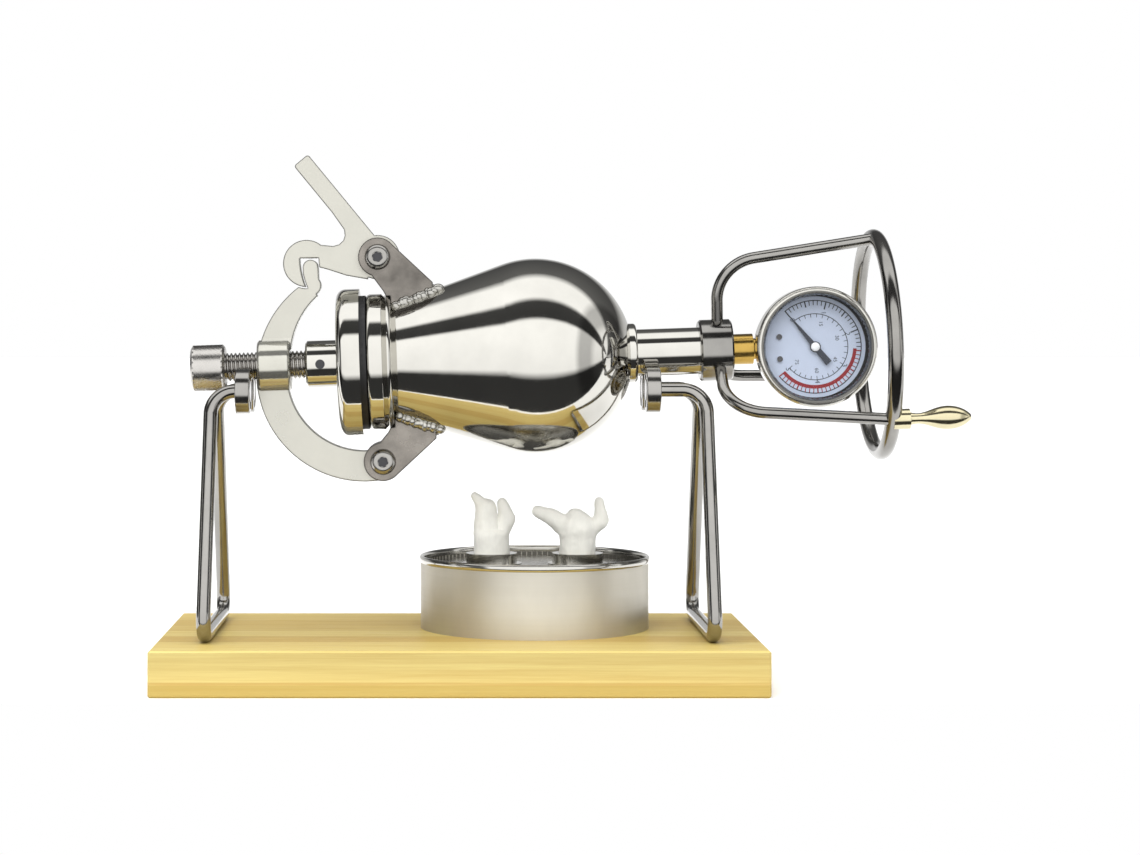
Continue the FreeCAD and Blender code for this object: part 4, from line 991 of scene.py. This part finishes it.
class POPCORN_OT_stage(bpy.types.Operator):
    """Set the floor, the light and the camera"""
    bl_idname = "popcorn.stage"
    bl_label = "Studio stage"

    # Greys of the room over the turn about x: 0 is level in front, 0.5 overhead, 1 behind and -0.5 below
    STRIPS = [(-1.0, 0.5), (-0.93, 0.45), (-0.86, 0.04), (-0.15, 0.03), (-0.1, 0.97), (0.24, 1.08),
              (0.265, 0.04), (0.38, 0.05), (0.415, 1.08), (0.58, 1.05), (0.64, 0.12), (0.86, 0.06),
              (0.93, 0.45), (1.0, 0.5)]

    # Greys of the room from its left side, -1, to its right side, 1
    SIDES = [(-1.0, 0.7), (-0.97, 0.7), (-0.92, 0.12), (-0.8, 0.12), (-0.72, 1.0), (0.7, 1.0), (0.78, 0.5),
             (0.9, 0.5), (0.95, 0.85), (1.0, 0.85)]

    # Half the floor's side and the lamps' places and sizes in metres, and the ceiling's width and lean
    FLOOR = 6.0
    KEY = {"place": (-0.35, -0.75, 1.15), "width": 1.1, "height": 0.8}
    SIDE = {"place": (-1.3, -0.35, 0.45), "width": 0.6, "height": 0.9}
    CEILING_WIDTH = math.radians(80)
    CEILING_LEAN = math.radians(18)

    # Width of the camera's sensor in millimetres
    SENSOR = 36.0

    def floor(self, tint, table):
        mesh = bmesh.new()
        bmesh.ops.create_grid(mesh, x_segments=1, y_segments=1, size=self.FLOOR,
                              matrix=Matrix.Translation((0, self.FLOOR - table, 0)))
        data = bpy.data.meshes.new("floor")
        mesh.to_mesh(data)
        mesh.free()
        floor = bpy.data.objects.new("floor", data)
        bpy.context.scene.collection.objects.link(floor)
        cover = Finish("pale floor", tint, roughness=1.0)
        cover.set("Specular IOR Level", 0.0)
        data.materials.append(cover.material)

    def hang(self, light, turn, place=(0, 0, 0)):
        """Put a lamp in the room, unseen in reflections."""
        lamp = bpy.data.objects.new(light.name, light)
        lamp.location = place
        lamp.rotation_euler = turn
        lamp.visible_glossy = False
        bpy.context.scene.collection.objects.link(lamp)

    def softbox(self, name, power, aim, place, width, height):
        light = bpy.data.lights.new(name, "AREA")
        light.shape = "RECTANGLE"
        light.size = width
        light.size_y = height
        light.energy = power
        self.hang(light, (Vector(aim) - Vector(place)).to_track_quat("-Z", "Y").to_euler(), place)

    def ceiling(self, power):
        light = bpy.data.lights.new("ceiling", "SUN")
        light.energy = power
        light.angle = self.CEILING_WIDTH
        self.hang(light, (self.CEILING_LEAN, 0, 0))

    def greys(self, nodes, value, reach, stops):
        """Grey of a value between minus and plus its reach; the stops are shares of the reach."""
        bands = nodes.node("ValToRGB", Fac=nodes.spread(value, 0.0, 1.0, start=-reach, end=reach))
        elements = bands.color_ramp.elements
        for place, _ in stops[1:-1]:
            elements.new((place + 1) / 2)
        for element, (_, grey) in zip(elements, stops):
            element.color = (grey, grey, grey, 1)
        return bands.outputs["Color"]

    def room(self, power):
        """White room: seen white, but with dark strips between its softboxes for reflections and light."""
        world = bpy.data.worlds.new("studio")
        bpy.context.scene.world = world
        world.use_nodes = True
        world.node_tree.nodes.clear()
        nodes = Nodes(world.node_tree)
        ray = nodes.node("SeparateXYZ", Vector=nodes.node("TexCoord").outputs["Generated"]).outputs
        turn = nodes.math("ARCTAN2", ray["Z"], nodes.math("MULTIPLY", ray["Y"], -1.0))
        strips = self.greys(nodes, turn, math.pi, self.STRIPS)
        sides = self.greys(nodes, ray["X"], 1.0, self.SIDES)
        tones = nodes.node("VectorMath", {"operation": "MULTIPLY"}, i0=strips, i1=sides)
        glow = nodes.node("Background", Color=tones.outputs["Vector"], Strength=power)
        seen = nodes.node("Background", Color=(1, 1, 1, 1))
        direct = nodes.node("LightPath").outputs["Is Camera Ray"]
        either = nodes.node("MixShader", Fac=direct, i1=glow.outputs[0], i2=seen.outputs[0])
        nodes.node("OutputWorld", Surface=either.outputs[0])

    def camera(self, studio):
        camera = bpy.data.cameras.new("camera")
        camera.sensor_width = self.SENSOR
        camera.lens = camera.sensor_width * studio.focal
        camera.shift_x = studio.shift_x
        camera.shift_y = studio.shift_y
        viewer = bpy.data.objects.new("camera", camera)
        viewer.location = (-studio.camera_x, -studio.camera_y, studio.camera_z)
        viewer.rotation_euler = (math.pi / 2, 0, 0)
        bpy.context.scene.collection.objects.link(viewer)
        bpy.context.scene.camera = viewer

    def execute(self, context):
        studio = context.scene.popcorn_stage
        low, high = CAD_BOX
        aim = ((low.x + high.x) / 2, 0, high.z / 2)
        self.floor(studio.floor, studio.table)
        self.softbox("key", studio.key_power, aim, **self.KEY)
        self.softbox("side", studio.side_power, aim, **self.SIDE)
        self.ceiling(studio.sun_power)
        self.room(studio.sky)
        self.camera(studio)
        context.scene.view_settings.view_transform = "Standard"
        return {"FINISHED"}


PIECES = (
    POPCORN_OT_finish_solids,
    POPCORN_OT_clamp_thread,
    POPCORN_OT_knurled_knob,
    POPCORN_OT_pivot_screws,
    POPCORN_OT_weld_beads,
    POPCORN_OT_roller_shields,
    POPCORN_OT_dial_print,
    POPCORN_OT_needle_cap,
    POPCORN_OT_can_bead,
    POPCORN_OT_cotton_wicks,
    POPCORN_OT_stage,
)


class POPCORN_PT_panel(bpy.types.Panel):
    """Lists the popcorn maker's pieces"""
    bl_label = "Popcorn maker"
    bl_idname = "POPCORN_PT_panel"
    bl_space_type = "VIEW_3D"
    bl_region_type = "UI"
    bl_category = "Popcorn maker"

    def draw(self, context):
        for piece in PIECES:
            self.layout.operator(piece.bl_idname)


GROUPS = {
    "popcorn_finishes": PopcornFinishes,
    "popcorn_details": PopcornDetails,
    "popcorn_stage": PopcornStage,
}


def register():
    for kind in (*GROUPS.values(), *PIECES, POPCORN_PT_panel):
        bpy.utils.register_class(kind)
    for name, kind in GROUPS.items():
        setattr(bpy.types.Scene, name, PointerProperty(type=kind))


def unregister():
    for name in GROUPS:
        delattr(bpy.types.Scene, name)
    for kind in (POPCORN_PT_panel, *reversed(PIECES), *GROUPS.values()):
        bpy.utils.unregister_class(kind)


def main():
    register()
    for piece in PIECES:
        group, name = piece.bl_idname.split(".")
        getattr(getattr(bpy.ops, group), name)()


if __name__ == "__main__":
    main()
